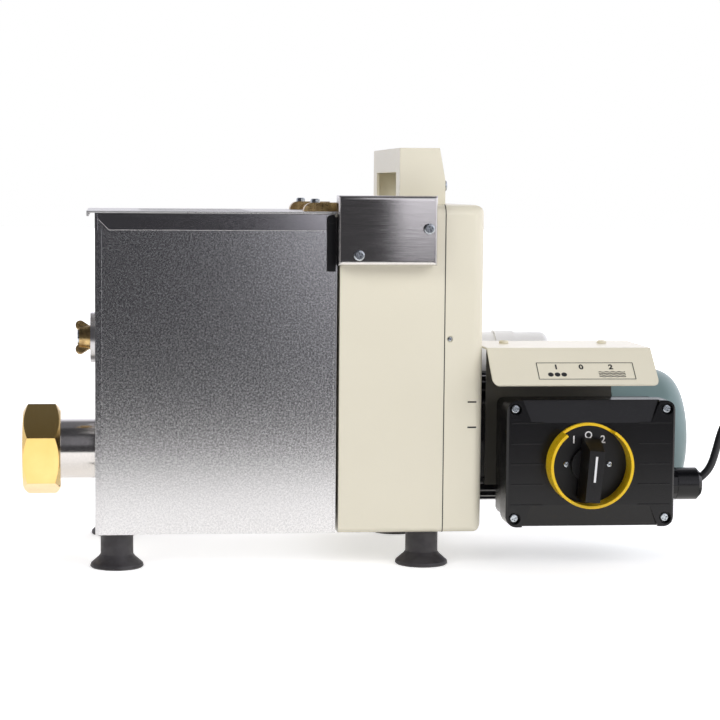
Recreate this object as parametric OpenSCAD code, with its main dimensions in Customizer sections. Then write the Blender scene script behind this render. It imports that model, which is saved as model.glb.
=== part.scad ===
// Electric pasta maker. A kneading tub with a screw press stands in front of a gear case, and a motor
// hangs behind it with the switch box on its near side.
// X runs from the die to the motor, Y from the switch side to the far side, Z up from the table.
// Inside the here() modules X is measured from the tub's front plate and Y from the middle of the tub.

/* [Tub] */
// Length of the tub, from its front plate to its rear plate
tub_len = 178; // [160:1:210]
// Width of the tub and of the gear case
body_w = 190; // [184:1:210]
// Height of the tub's rim above the table
rim_z = 264; // [258:1:285]
// Height of the casing's underside above the table
base_z = 27; // [24:1:28]
// Thickness of the tub's front, rear and bottom plates
plate_t = 2; // [1.5:0.1:3]
// Thickness of the tub's side sheets
flank_t = 1.5; // [1:0.1:2]
// Thickness of the fold along the rim and the front edge
fold_t = 0.8; // [0.6:0.1:1.2]
// Height of the fold along the rim
fold_h = 12; // [8:0.5:20]
// Width of the front plate's return on the side sheets
return_w = 3; // [2:0.5:6]
// Thickness of the basin's wall
basin_t = 1.5; // [1:0.1:2.5]
// Width of the ledge between the basin's mouth and the side sheets
ledge_w = 10; // [8:0.5:14]

/* [Screw press] */
// Height of the press screw's axis above the table
auger_z = 79.5; // [76:0.5:82]
// Radius of the press screw over its flight
auger_r = 18.5; // [16:0.5:20]
// Radius of the press screw's core
auger_core_r = 8; // [6:0.5:9]
// Lead of the press screw's flight
auger_lead = 30; // [24:1:40]
// Running gap between the screw and the barrel
bore_gap = 0.5; // [0.3:0.1:1]
// Wall of the barrel
barrel_t = 4; // [3:0.5:6]
// Length of the barrel in front of the tub
barrel_len = 42; // [36:1:56]
// Diameter of the die
die_d = 44; // [42:0.5:45]
// Thickness of the die
die_t = 10; // [8:0.5:12]
// Width across the ring nut's flats
nut_flats = 63; // [58:0.5:70]
// Length of the ring nut
nut_len = 29; // [24:0.5:34]
// Thickness of the ring nut's lip in front of the die
nut_lip_t = 3.7; // [3:0.1:5]
// Width of the ring nut's lip over the die's edge
nut_lip_w = 4; // [3:0.5:6]

/* [Kneader] */
// Radius of the kneader's shaft
kneader_r = 8; // [7:0.5:10]
// Gap between the paddles and the basin
paddle_gap = 3; // [2:0.5:5]
// Number of paddles
paddles = 6; // [4:1:8]
// Diameter of the flange that carries the kneader's front end
flange_d = 39; // [34:1:46]
// Thickness of that flange
flange_t = 4; // [3:0.5:6]
// Span of the wing nut over its two wings
wing_span = 27; // [24:1:36]
// Length of the wing nut
wing_len = 11.5; // [10:0.5:16]

/* [Gears] */
// Module of the first pair of gears
fast_module = 1.25; // [1:0.25:1.25]
// Module of the slow gears
slow_module = 1.5; // [1.5:0.25:1.5]
// Teeth of the motor pinion
pinion_teeth = 14; // [13:1:16]
// Teeth of the countershaft wheel
wheel_teeth = 66; // [60:1:68]
// Teeth of the countershaft pinion
counter_teeth = 16; // [15:1:17]
// Teeth of the press screw's gear
auger_teeth = 58; // [56:1:60]
// Teeth of the kneader's gear
kneader_teeth = 58; // [56:1:60]
// Angle of the countershaft above the level of the press screw
counter_angle = 41.5; // [38:0.5:46]
// Play between the flanks of meshing teeth
backlash = 0.24; // [0.15:0.01:0.3]
// Face width of the fast gears
fast_face = 12; // [9:0.5:14]
// Face width of the slow gears
slow_face = 11; // [8:0.5:12]
// Radius of the gear shafts in their bearings
shaft_r = 8; // [7:0.5:9]
// Radius of the countershaft
counter_r = 6; // [5:0.5:7]

/* [Gear case] */
// Gap between the tub and the gear case
tub_gap = 2; // [1.5:0.5:5]
// Length of the gear case
case_len = 78.5; // [74:0.5:90]
// Length of the rear cover
cover_len = 29.5; // [24:0.5:36]
// Height of the gear case above the rim
case_rise = 7.5; // [5:0.5:14]
// Wall of the gear case and its cover
case_t = 3; // [2.5:0.1:4]
// Radius of the gear case's long upper edges
case_round = 8; // [5:0.5:12]
// Thickness of the bearing plate
bearing_plate_t = 5; // [4:0.5:7]
// Running clearance of shafts in their bearings
run_gap = 0.05; // [0.02:0.01:0.09]

/* [Lid] */
// Thickness of the lid
lid_t = 1.5; // [1:0.1:2.5]
// Gap between the rim and the lid
lid_gap = 0.3; // [0.2:0.1:0.6]
// Length that the lid stands out in front of the tub
lid_lip = 6; // [4:0.5:10]
// Height of the lid's folded lip
lip_h = 2.4; // [1.5:0.1:5]
// Number of feed slots in the lid
feed_slots = 7; // [5:1:9]
// Width of a feed slot
slot_w = 8; // [6:0.5:9]
// Length of the feed slots
slot_len = 84; // [60:1:100]
// Distance of the lid's hinge pin behind the gear case's front
hinge_back = 8; // [7:0.5:9]
// Height of the hinge pin above the rim
hinge_rise = 0; // [0:0.25:1]
// Radius of the hinge pin
hinge_r = 3; // [2.5:0.25:3.5]
// Radius of the eyes around the hinge pin
eye_r = 6; // [5.5:0.25:6.5]
// Width of a hinge arm
arm_w = 12; // [10:0.5:18]
// Distance of the hinge arms from the middle
arm_y = 58; // [45:1:66]
// Length of a hinge arm in front of its eye
arm_len = 32; // [28:0.5:38]

/* [Hinge cover] */
// Length of the steel cover over the hinge's near end
hood_len = 73; // [68:0.5:76]
// Height of the steel cover
hood_h = 51; // [46:0.5:56]
// Distance that it stands out
hood_d = 16; // [15:0.5:22]
// Sheet of the steel cover
hood_t = 1.2; // [0.8:0.1:1.6]
// Radius of its bent edges
hood_round = 3; // [1.8:0.1:3]
// Height of the cover's top above the rim
hood_rise = 14; // [12.5:0.5:16]

/* [Carrying handle] */
// Width of the carrying handle across the machine
handle_w = 150; // [120:1:170]
// Height of the handle above the gear case
handle_h = 42; // [36:0.5:56]
// Length of the handle's foot
handle_foot = 34.5; // [32:0.5:42]
// Length of the handle's flat top
handle_top = 30; // [24:0.5:30]
// Sheet of the handle
handle_t = 2; // [1.5:0.1:3]
// Height of the space for the fingers
finger_h = 24; // [22:0.5:27]
// Distance of the handle's front behind the gear case's front
handle_back = 46.5; // [30:0.5:56]

/* [Feet] */
// Diameter of a foot's rim
foot_d = 40; // [34:0.5:46]
// Diameter of a foot's neck
foot_neck_d = 24.5; // [20:0.5:28]
// Height of a foot's flared rim
foot_flare = 8; // [6:0.5:10]
// Distance of the front feet behind the front plate
foot_front = 16; // [14:0.5:40]
// Distance of the rear feet behind the gear case's front
foot_back = 66; // [30:0.5:68]
// Distance of the feet from the side sheets
foot_inset = 21; // [20.5:0.5:40]

/* [Motor] */
// Radius of the motor over its fins
motor_r = 51; // [48:0.5:52]
// Depth of the fins
fin_h = 7; // [4:0.5:8]
// Number of fins
fins = 32; // [24:1:40]
// Thickness of the motor's front flange
flange_ring_t = 9; // [7:0.5:12]
// Length of the finned body
motor_len = 113; // [106:1:126]
// Length of the fan cowl behind the finned body
cowl_len = 56; // [50:1:64]
// Radius of the fan cowl
cowl_r = 52.5; // [52.5:0.5:56]
// Sheet of the fan cowl
cowl_t = 1.5; // [1:0.1:2]
// Radius of the cowl's rounded end
cowl_round = 20; // [14:0.5:26]
// Radius of the fan
fan_r = 44; // [38:0.5:47]
// Radius of the motor's shaft
rotor_r = 5; // [4.5:0.25:6]
// Diameter of the capacitor
cap_d = 40; // [36:0.5:44]
// Length of the capacitor
cap_len = 72; // [60:1:90]
// Angle of the capacitor above the level of the motor's axis
cap_angle = 53; // [45:1:60]

/* [Splash cover] */
// Height of the splash cover above the table
splash_z = 165.5; // [160:0.5:172]
// Length of the splash cover
splash_len = 124; // [114:1:132]
// Width of its level top
splash_w = 70; // [60:1:76]
// Distance that its sloping flap reaches out
flap_out = 29; // [22:0.5:32]
// Distance that the flap reaches down
flap_down = 25; // [18:0.5:28]
// Radius of the flap's lower corners
flap_round = 5; // [3:0.5:9]
// Sheet of the splash cover
splash_t = 1.5; // [1:0.1:2]
// Gap between the gear case's cover and the splash cover
splash_gap = 2.3; // [1.8:0.1:8]

/* [Switch box] */
// Length of the switch box
box_len = 127; // [118:1:132]
// Height of the switch box
box_h = 94.5; // [88:0.5:100]
// Depth of the box's base
box_base_d = 32; // [28:0.5:36]
// Depth of the box's lid
box_lid_d = 22.5; // [20:0.5:28]
// Wall of the box
box_t = 3; // [2:0.1:4]
// Step from the lid's edge in to the base
base_inset = 2.5; // [1:0.5:2.5]
// Radius of the box's corners
box_round = 8; // [5:0.5:12]
// Distance of the box behind the gear case's cover
box_back = 15; // [11:0.5:18]
// Distance of the switch box's middle below the motor's axis
box_drop = 8; // [4:0.5:9]
// Height of the sloping stretches along the top and the bottom of the box's face
slope_h = 16.5; // [12:0.5:20]
// Depth that they slope back
slope_d = 6; // [4:0.5:7]
// Distance of the dial in front of the box's middle
dial_shift = 3; // [0:0.5:6]
// Outer diameter of the dial's collar
collar_d = 62; // [58:0.5:66]
// Height of the collar
collar_h = 18; // [14:0.5:22]
// Wall of the collar
collar_t = 2; // [1.5:0.1:3]
// Height of the knob above the box
knob_h = 28; // [24:0.5:34]
// Width of the knob's grip
grip_w = 11; // [9:0.5:14]
// Reach of the knob's grip above the dial's middle
grip_up = 13; // [10:0.5:18]
// Reach of the knob's grip below the dial's middle
grip_down = 25; // [20:0.5:26]
// Radius of the knob's round foot
knob_foot_r = 13; // [11:0.5:16]
// Diameter of the cable gland
gland_d = 24.5; // [20:0.5:28]
// Distance of the cable gland below the middle of the box
gland_drop = 20.5; // [18:0.5:26]
// Length of the cable gland
gland_len = 32; // [26:0.5:36]

/* [Cord] */
// Diameter of the mains cord
cord_d = 6; // [5:0.5:8]

/* [Hidden] */
$fn = 64;
eps = 0.01;

// colours
steel = [0.72, 0.72, 0.72];
brass = [0.84, 0.66, 0.22];
cream = [0.93, 0.90, 0.82];
black = [0.12, 0.12, 0.14];
zinc = [0.78, 0.80, 0.84];

// places along the machine
nut_x0 = -(barrel_len + die_t + lid_gap + nut_lip_t);
case_x0 = tub_len + tub_gap;
case_x1 = case_x0 + case_len;
cover_x1 = case_x1 + cover_len;
motor_x1 = cover_x1 + flange_ring_t + motor_len;
cowl_x1 = motor_x1 + cowl_len;
hinge_x = case_x0 + hinge_back;
hood_x0 = case_x0 - 3;
rim_plug_d = 6.4;
rim_plug_x = hood_x0 - rim_plug_d / 2 - 0.3;
strip_len = 42;
splash_x0 = cover_x1 + splash_gap;
box_x0 = cover_x1 + box_back;
box_mid_x = box_x0 + box_len / 2;
dial_x = box_mid_x - dial_shift;
box_x1 = box_x0 + box_len;

// heights
case_z1 = rim_z + case_rise;
kneader_z = auger_z + slow_module * (auger_teeth + kneader_teeth) / 2;
axis_gap = kneader_z - auger_z;
hinge_z = rim_z + hinge_rise;
fast_gap = fast_module * (pinion_teeth + wheel_teeth) / 2;
slow_gap = slow_module * (counter_teeth + auger_teeth) / 2;
counter_y = slow_gap * cos(counter_angle);
counter_z = auger_z + slow_gap * sin(counter_angle);
motor_z = counter_z - sqrt(fast_gap * fast_gap - counter_y * counter_y);
box_mid_z = motor_z - box_drop;

// distances from the middle
half_w = body_w / 2;
flank_y = half_w - fold_t;
pad_y = motor_r + 6;
box_back_y = pad_y + splash_t;
box_split_y = box_back_y + box_base_d;
box_front_y = box_split_y + box_lid_d;

// the origin is the middle of the machine's outline, on the table
mid_x = (nut_x0 + cowl_x1) / 2;
mid_y = (half_w - box_front_y - knob_h) / 2;

// the basin
basin_r = axis_gap - auger_r + 1.5;
paddle_r = basin_r - paddle_gap;
channel_r = auger_r + bore_gap;
barrel_r = channel_r + barrel_t;
mouth_y = half_w - ledge_w;
basin_x0 = plate_t;
basin_x1 = tub_len - plate_t;

// the planes of the gears, from the front
case_face_t = 4;
gear_clear = 3;
bush_len = 12;
knead_gear_x = case_x0 + bush_len + gear_clear;
slow_gear_x = knead_gear_x + slow_face + 1.5;
bearing_plate_x = slow_gear_x + slow_face + gear_clear;
fast_gear_x = bearing_plate_x + bearing_plate_t + gear_clear;

// ---------------------------------------------------------------- helpers

// what is drawn from the tub's front plate and the middle of the tub, in the part's own frame
module here() translate([-mid_x, -mid_y, 0]) children();

// a flat outline in Y and Z, drawn out along X from x0 to x1
module along_x(x0, x1) translate([x0, 0, 0]) rotate([90, 0, 90]) linear_extrude(x1 - x0) children();

// a flat outline in X and Z, drawn out along Y from y0 to y1
module along_y(y0, y1) translate([0, y1, 0]) rotate([90, 0, 0]) linear_extrude(y1 - y0) children();

module rod_x(x0, x1, r, y = 0, z = 0) translate([x0, y, z]) rotate([0, 90, 0]) cylinder(h = x1 - x0, r = r);

module rod_y(y0, y1, r, x = 0, z = 0) translate([x, y0, z]) rotate([-90, 0, 0]) cylinder(h = y1 - y0, r = r);

module block(x0, x1, y0, y1, z0, z1) translate([x0, y0, z0]) cube([x1 - x0, y1 - y0, z1 - z0]);

// a rectangle from [x0, y0] to [x1, y1] with one radius on its upper and one on its lower corners
module rounded(x0, x1, y0, y1, top, bottom) {
    translate([x0 + top, y0 + bottom]) square([x1 - x0 - 2 * top, y1 - y0 - bottom]);
    translate([x0, y0 + bottom]) square([x1 - x0, y1 - y0 - bottom - top]);
    translate([x0 + bottom, y0]) square([x1 - x0 - 2 * bottom, y1 - y0 - top]);
    for (x = [x0 + top, x1 - top]) translate([x, y1 - top]) circle(top);
    for (x = [x0 + bottom, x1 - bottom]) translate([x, y0 + bottom]) circle(bottom);
}

// a pan-head screw along Y, its head's underside at y and its head towards the near side
module screw_near(x, y, z, head_r, head_h, shank_r, shank_len) {
    translate([x, y, z]) rotate([90, 0, 0]) pan_head(head_r, head_h);
    rod_y(y, y + shank_len, shank_r, x, z);
}

// a pan head that stands on the origin, with its rounded edge and its cross slot
module pan_head(r, h) {
    slot = r / 3;
    difference() {
        rotate_extrude() intersection() {
            union() {
                square([r - h / 2, h]);
                square([r, h / 2]);
                translate([r - h / 2, h / 2]) circle(h / 2, $fn = 24);
            }
            square([r, h]);
        }
        for (turn = [20, 110]) rotate(turn) translate([-r * 0.6, -slot / 2, h * 0.45]) cube([r * 1.2, slot, h]);
    }
}

// ---------------------------------------------------------------- tub

module front_plate() color(steel) here() {
    difference() {
        block(0, plate_t, -half_w, half_w, base_z, rim_z);
        rod_x(-1, plate_t + 1, channel_r, 0, auger_z);
        rod_x(-1, plate_t + 1, kneader_bush_r, 0, kneader_z);
    }
    for (side = [-1, 1])
        scale([1, side, 1]) block(plate_t - eps, plate_t + return_w, flank_y, half_w, base_z, rim_z - fold_h);
}

// a side sheet, with the rim folded over on its outside and a ledge that turns in to the basin
module flank() color(steel) here() {
    block(plate_t, basin_x1, -flank_y, -flank_y + flank_t, base_z, rim_z);
    corner = fold_h * 0.7;
    fold_x1 = rim_plug_x - rim_plug_d / 2 - 0.5;
    along_y(-half_w, -flank_y + eps) polygon([
        [plate_t, rim_z],
        [fold_x1, rim_z],
        [fold_x1, rim_z - fold_h],
        [plate_t + corner, rim_z - fold_h],
        [plate_t, rim_z - fold_h + corner]
    ]);
    block(plate_t, basin_x1, -flank_y + flank_t - eps, -mouth_y - basin_t - 0.2, rim_z - flank_t, rim_z);
}

module far_flank() translate([0, -2 * mid_y, 0]) mirror([0, 1, 0]) flank();

module tub_rear_plate() color(steel) here() difference() {
    block(basin_x1, tub_len, -flank_y, flank_y, base_z, rim_z - 2);
    rod_x(basin_x1 - 1, tub_len + 1, shaft_r + 1, 0, auger_z);
    rod_x(basin_x1 - 1, tub_len + 1, shaft_r + 1, 0, kneader_z);
}

// where the straight wall from the mouth's edge touches the basin's round
mouth_reach = sqrt(mouth_y * mouth_y + (rim_z - kneader_z) * (rim_z - kneader_z));
wall_angle = atan2(rim_z - kneader_z, mouth_y) - acos(basin_r / mouth_reach);

// the hollow of the basin, or with grow the hollow and its wall
module basin_outline(grow) {
    r = basin_r + grow;
    y = mouth_y + grow / cos(wall_angle);
    top = rim_z + (grow > 0 ? 0 : 1);
    translate([0, kneader_z]) circle(r, $fn = 96);
    polygon([
        [-y, top],
        [-r * cos(wall_angle), kneader_z + r * sin(wall_angle)],
        [0, kneader_z - r / 2],
        [r * cos(wall_angle), kneader_z + r * sin(wall_angle)],
        [y, top]
    ]);
    translate([0, auger_z]) circle(channel_r + grow);
    translate([-channel_r - grow, auger_z]) square([2 * (channel_r + grow), axis_gap / 2]);
}

module basin() color(steel) here() along_x(basin_x0, basin_x1) difference() {
    basin_outline(basin_t);
    basin_outline(0);
}

module base_sheet() color(steel) here() difference() {
    block(plate_t, basin_x1, -flank_y + flank_t, flank_y - flank_t, base_z, base_z + plate_t);
    front_feet_places() cylinder(h = 100, r = bolt_r, center = true);
}

// ---------------------------------------------------------------- press

module barrel() color(steel) here() difference() {
    rod_x(-barrel_len, 0, barrel_r, 0, auger_z);
    rod_x(-barrel_len - 1, 1, channel_r, 0, auger_z);
}

// the die: a brass disc with two rings of holes behind a shallow face
module die() color(brass) here() difference() {
    rod_x(-barrel_len - die_t, -barrel_len, die_d / 2, 0, auger_z);
    rod_x(-barrel_len - die_t - 1, -barrel_len - die_t + 2, die_d * 0.34, 0, auger_z);
    for (ring = [1, 2], i = [0:ring * 6 - 1])
        translate([-barrel_len - die_t / 2, 0, auger_z]) rotate([i * 60 / ring, 0, 0])
            rod_x(-die_t, die_t, die_d / 34, 0, ring * die_d * 0.13);
    rod_x(-barrel_len - die_t - 1, 1 - barrel_len, die_d / 34, 0, auger_z);
}

// the hexagon ring nut, bevelled at both ends, with a lip that holds the die
module ring_nut() color(brass) here() translate([nut_x0, 0, auger_z]) rotate([0, 90, 0]) difference() {
    corner_r = nut_flats / 2 / cos(30);
    face_r = nut_flats / 2 - 1.5;
    bevel_r = corner_r + 1 - face_r;
    bevel_h = bevel_r * 0.62;
    lip_r = die_d / 2 - nut_lip_w;
    lip_bevel = 1.6;
    intersection() {
        rotate(nut_angle) cylinder(h = nut_len, r = corner_r, $fn = 6);
        rotate_extrude($fn = 96) polygon([
            [0, 0],
            [face_r, 0],
            [face_r + bevel_r, bevel_h],
            [face_r + bevel_r, nut_len - bevel_h],
            [face_r, nut_len],
            [0, nut_len]
        ]);
    }
    rotate_extrude() polygon([
        [0, -1],
        [lip_r + lip_bevel + 1, -1],
        [lip_r, lip_bevel],
        [lip_r, nut_lip_t],
        [barrel_r + run_gap, nut_lip_t],
        [barrel_r + run_gap, nut_len + 1],
        [0, nut_len + 1]
    ]);
}
// turn of the nut's corners about its axis, as it is tightened
nut_angle = 10;

// the press screw: a core with one flight wound round it, thick at its root and thinner at its edge
module auger() color(zinc) here() {
    rod_x(auger_x0, auger_x1, auger_core_r, 0, auger_z);
    rod_x(auger_x1 - eps, slow_gear_x, tang_r, 0, auger_z);
    translate([0, 0, auger_z]) flight(auger_x0 + 2, auger_x1 - 4);
}
auger_x0 = -barrel_len + 3;
auger_x1 = basin_x1 - 1;
tang_r = shaft_r * 0.72;

// a helix of blocks swept from x0 to x1
module flight(x0, x1) {
    per_turn = 20;
    root_t = 3.4;
    edge_t = 1.6;
    sunk = 1;
    steps = ceil((x1 - x0 - 2 * root_t) / auger_lead * per_turn);
    foot_r = auger_core_r - sunk;
    profile = [[foot_r, -root_t], [auger_r, -edge_t], [auger_r, edge_t], [foot_r, root_t]];
    rings = [
        for (i = [0:steps], p = profile)
            let (a = i * 360 / per_turn, x = x0 + root_t + i * auger_lead / per_turn)
                [min(x, x1 - root_t) + p[1], p[0] * cos(a), p[0] * sin(a)]
    ];
    walls = [
        for (i = [0:steps - 1], k = [0:3], half = [0, 1])
            let (a = i * 4 + k, b = i * 4 + (k + 1) % 4) half == 0 ? [a, b, b + 4] : [a, b + 4, a + 4]
    ];
    polyhedron(rings, concat(walls, [[3, 2, 1, 0], [for (k = [0:3]) steps * 4 + k]]), convexity = 20);
}

// ---------------------------------------------------------------- kneader

kneader_bush_r = kneader_r + 3;
pin_r = kneader_r - 2;

// the flange outside the front plate, and its bush through the plate
module kneader_flange() color(steel) here() difference() {
    union() {
        rod_x(-flange_t, 0, flange_d / 2, 0, kneader_z);
        rod_x(-eps, plate_t + 4, kneader_bush_r, 0, kneader_z);
    }
    rod_x(-flange_t - 1, plate_t + 5, pin_r, 0, kneader_z);
}

// the fixed pin that the flange holds: the wing nut's stud outside, and the kneader's front bearing inside
module kneader_pin() color(zinc) here()
    rod_x(-flange_t - wing_len + 1.5, kneader_x0 + pin_reach, pin_r, 0, kneader_z);
kneader_x0 = plate_t + 4.5;
pin_reach = 14;

// the shaft and its flat paddles, each turned on from the last
module kneader() color(steel) here() {
    back = basin_x1 - 2;
    step = (back - kneader_x0 - 24) / (paddles - 1);
    difference() {
        union() {
            rod_x(kneader_x0, kneader_x0 + pin_reach + 6, kneader_r + 3, 0, kneader_z);
            rod_x(kneader_x0, back, kneader_r, 0, kneader_z);
        }
        rod_x(kneader_x0 - 1, kneader_x0 + pin_reach + 0.5, pin_r + run_gap, 0, kneader_z);
    }
    rod_x(back - eps, knead_gear_x, tang_r, 0, kneader_z);
    for (i = [0:paddles - 1]) translate([kneader_x0 + 12 + i * step, 0, kneader_z])
        rotate([30 + i * 120, 0, 0]) paddle();
}

// a bar from the shaft to the basin's wall, its end widened to a rounded blade
module paddle() {
    blade_w = 22;
    arm_w2 = 10;
    along_y(-2.5, 2.5) {
        translate([-arm_w2 / 2, kneader_r - 1]) square([arm_w2, paddle_r - blade_w / 2 - kneader_r + 1]);
        intersection() {
            translate([0, paddle_r - blade_w * 0.7]) circle(blade_w * 0.7);
            translate([-blade_w / 2, paddle_r - blade_w]) square([blade_w, blade_w]);
        }
    }
}

// the wing nut on the kneader's front pin
module wing_nut() color(brass) here() translate([-flange_t, 0, kneader_z]) rotate([0, -90, 0]) difference() {
    hub_r = pin_r + 2.5;
    union() {
        cylinder(h = wing_len * 0.75, r1 = hub_r + 1, r2 = hub_r);
        for (side = [0, 180]) rotate([0, 0, wing_turn + side]) rotate([90, 0, 0])
            translate([0, 0, -1.6]) linear_extrude(3.2) wing_outline(hub_r);
    }
    translate([0, 0, -1]) cylinder(h = wing_len * 3, r = pin_r + run_gap);
}
wing_turn = 24;

// a wing that leans out from the hub and ends in a round ear
module wing_outline(hub_r) {
    ear_r = 3.6;
    reach = wing_span / 2 - ear_r;
    polygon([
        [hub_r - 1.5, 1],
        [hub_r + 1, 1],
        [reach + ear_r * 0.8, wing_len - ear_r * 1.6],
        [reach - ear_r * 0.6, wing_len - ear_r * 0.2],
        [hub_r - 1.5, wing_len * 0.7]
    ]);
    translate([reach, wing_len - ear_r]) circle(ear_r, $fn = 32);
}

// ---------------------------------------------------------------- gears

pressure_angle = 20;

function involute(a) = tan(a) * 180 / PI - a;

// half the angle that a tooth takes at radius r
function tooth_half(z, pitch_r, base_r, r) =
    90 / z - backlash / 4 / pitch_r * 180 / PI + involute(pressure_angle)
    - (r > base_r ? involute(acos(base_r / r)) : 0);

// the outline of a spur gear of z teeth, one tooth centred on the turn angle
module gear_outline(m, z, turn) {
    pitch_r = m * z / 2;
    base_r = pitch_r * cos(pressure_angle);
    root_r = pitch_r - 1.2 * m;
    tip_r = pitch_r + 0.92 * m;
    low_r = max(root_r, base_r);
    levels = root_r < base_r
        ? [root_r, low_r, (low_r + tip_r) / 2, tip_r]
        : [root_r, (low_r * 1.2 + tip_r) / 2.2, tip_r];
    flank_points = [for (r = levels) [r, tooth_half(z, pitch_r, base_r, r)]];
    n = len(levels);
    polygon([
        for (i = [0:z - 1], side = [-1, 1], k = [0:n - 1])
            let (p = flank_points[side < 0 ? k : n - 1 - k], a = turn + i * 360 / z + side * p[1])
                [p[0] * cos(a), p[0] * sin(a)]
    ]);
}

// the turn that puts gear b's gap on gear a's tooth, where away is the direction from a to b
function meshed(a_turn, a_z, b_z, away) =
    let (u = (away - a_turn) * a_z / 360) away + 180 - (0.5 - (u - floor(u))) * 360 / b_z;

counter_dir = counter_angle;
motor_dir = atan2(motor_z - counter_z, -counter_y);
auger_turn = 0;
kneader_turn = meshed(auger_turn, auger_teeth, kneader_teeth, 90);
counter_turn = meshed(auger_turn, auger_teeth, counter_teeth, counter_dir);
wheel_turn = 0;
pinion_turn = meshed(wheel_turn, wheel_teeth, pinion_teeth, motor_dir);

// a gear at y and z, from x0 over its face width, with lightening holes where the web is wide enough
module gear_at(m, z, turn, face, x0, y, zz, hole_r = 0, bore_r = 0) translate([0, y, zz]) difference() {
    along_x(x0, x0 + face) gear_outline(m, z, turn);
    if (hole_r > 0)
        for (i = [0:5]) rotate([i * 60, 0, 0]) rod_x(x0 - 1, x0 + face + 1, hole_r, 0, m * z * 0.31);
    if (bore_r > 0) rod_x(x0 - 1, x0 + face + 1, bore_r, 0, 0);
}

// the press screw's gear is wide enough for the kneader's gear and the countershaft pinion side by side
module auger_gear() color(zinc) here() {
    width = slow_gear_x + slow_face - knead_gear_x;
    gear_at(slow_module, auger_teeth, auger_turn, width, knead_gear_x, 0, auger_z, 8, tang_r);
    difference() {
        union() {
            rod_x(tub_len + 1, knead_gear_x + eps, shaft_r, 0, auger_z);
            rod_x(slow_gear_x + slow_face - eps, bearing_plate_x + bearing_plate_t, shaft_r, 0, auger_z);
        }
        rod_x(tub_len, slow_gear_x + eps, tang_r, 0, auger_z);
    }
}

module kneader_gear() color(zinc) here() {
    gear_at(slow_module, kneader_teeth, kneader_turn, slow_face, knead_gear_x, 0, kneader_z, 8, tang_r);
    difference() {
        union() {
            rod_x(tub_len + 1, knead_gear_x + eps, shaft_r, 0, kneader_z);
            rod_x(knead_gear_x + slow_face - eps, bearing_plate_x + bearing_plate_t, shaft_r, 0, kneader_z);
        }
        rod_x(tub_len, knead_gear_x + eps, tang_r, 0, kneader_z);
    }
}

module counter_gear() color(zinc) here() {
    rod_x(case_x0 + case_face_t + 0.5, fast_gear_x + fast_face + 2, counter_r, counter_y, counter_z);
    gear_at(slow_module, counter_teeth, counter_turn, slow_face, slow_gear_x, counter_y, counter_z);
    gear_at(fast_module, wheel_teeth, wheel_turn, fast_face, fast_gear_x, counter_y, counter_z, 8);
}

// ---------------------------------------------------------------- gear case

// places of the shafts that turn in the case, with each shaft's radius: two drive the tub's tools
tub_shafts = [[0, auger_z, shaft_r], [0, kneader_z, shaft_r]];
shafts = concat(tub_shafts, [[counter_y, counter_z, counter_r]]);
bearing_wall = 4;

// ring bearings: one of each shaft in the front wall's bosses and one in the bearing plate
module drive_bearings() color(brass) here() for (s = shafts) difference() {
    union() {
        rod_x(case_x0 + case_face_t, case_x0 + bush_len, s[2] + bearing_wall, s[0], s[1]);
        rod_x(bearing_plate_x, bearing_plate_x + bearing_plate_t, s[2] + bearing_wall, s[0], s[1]);
    }
    rod_x(case_x0, bearing_plate_x + bearing_plate_t + 1, s[2] + run_gap, s[0], s[1]);
}

module bearing_plate() color(zinc) here() difference() {
    along_x(bearing_plate_x, bearing_plate_x + bearing_plate_t)
        rounded(-half_w + case_t, half_w - case_t, base_z + case_t, pocket_z0 - 6, 2, 2);
    for (s = shafts) rod_x(case_x0, case_x1, s[2] + bearing_wall, s[0], s[1]);
}

// the pocket in the case's upper front edge, where the lid's hinge arms swing
pocket_z0 = hinge_z - eye_r - 1.5;
pocket_x1 = hinge_x + eye_r + 4;
pocket_y = arm_y + arm_w / 2 + 4;
pin_y0 = -half_w - hood_d + hood_t + 1;
hinge_bush_r = hinge_r + 1.5;

module case_outline(inset) rounded(
    -half_w + inset, half_w - inset, base_z + inset, case_z1 - inset,
    case_round - inset, 4 - min(inset, 2));

module gear_case() color(cream) here() difference() {
    union() {
        difference() {
            along_x(case_x0, case_x1) case_outline(0);
            along_x(case_x0 + case_face_t, case_x1 + 1) case_outline(case_t);
        }
        difference() {
            block(case_x0, pocket_x1 + 2, -pocket_y - 2, pocket_y + 2, pocket_z0 - 2, case_z1);
            block(case_x0 - 1, pocket_x1, -pocket_y, pocket_y, pocket_z0, case_z1 + 1);
        }
        for (s = shafts) rod_x(case_x0 + 1, case_x0 + bush_len, s[2] + bearing_wall + 3, s[0], s[1]);
        for (side = [-1, 1]) scale([1, side, 1])
            rod_y(-half_w + 1, -pocket_y, hinge_bush_r + 2, hinge_x, hinge_z);
        for (s = tub_shafts) rod_x(tub_len, case_x0 + 1, s[2] + bearing_wall + 3, s[0], s[1]);
    }
    block(case_x0 - 1, pocket_x1, -pocket_y, pocket_y, pocket_z0, case_z1 + 1);
    for (s = shafts) rod_x(case_x0 + case_face_t, case_x0 + bush_len + 1, s[2] + bearing_wall, s[0], s[1]);
    for (s = tub_shafts) rod_x(tub_len - 1, case_x0 + case_face_t + 1, s[2] + 1, s[0], s[1]);
    rod_y(-half_w - 1, half_w - 4, hinge_bush_r, hinge_x, hinge_z);
    rear_feet_places() cylinder(h = 100, r = bolt_r, center = true);
}

// the rear cover: a shell whose rear edges are rounded over
module cover_form(inset) intersection() {
    along_x(case_x1, cover_x1 - inset) case_outline(inset);
    along_y(-half_w, half_w) cover_side(case_x1, cover_x1 - inset, base_z + inset, case_z1 - inset, inset);
    r = case_round - inset;
    translate([0, 0, base_z]) linear_extrude(case_z1 - base_z)
        rotate(-90) rounded(-half_w + inset, half_w - inset, case_x1, cover_x1 - inset, r, eps);
}

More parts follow.
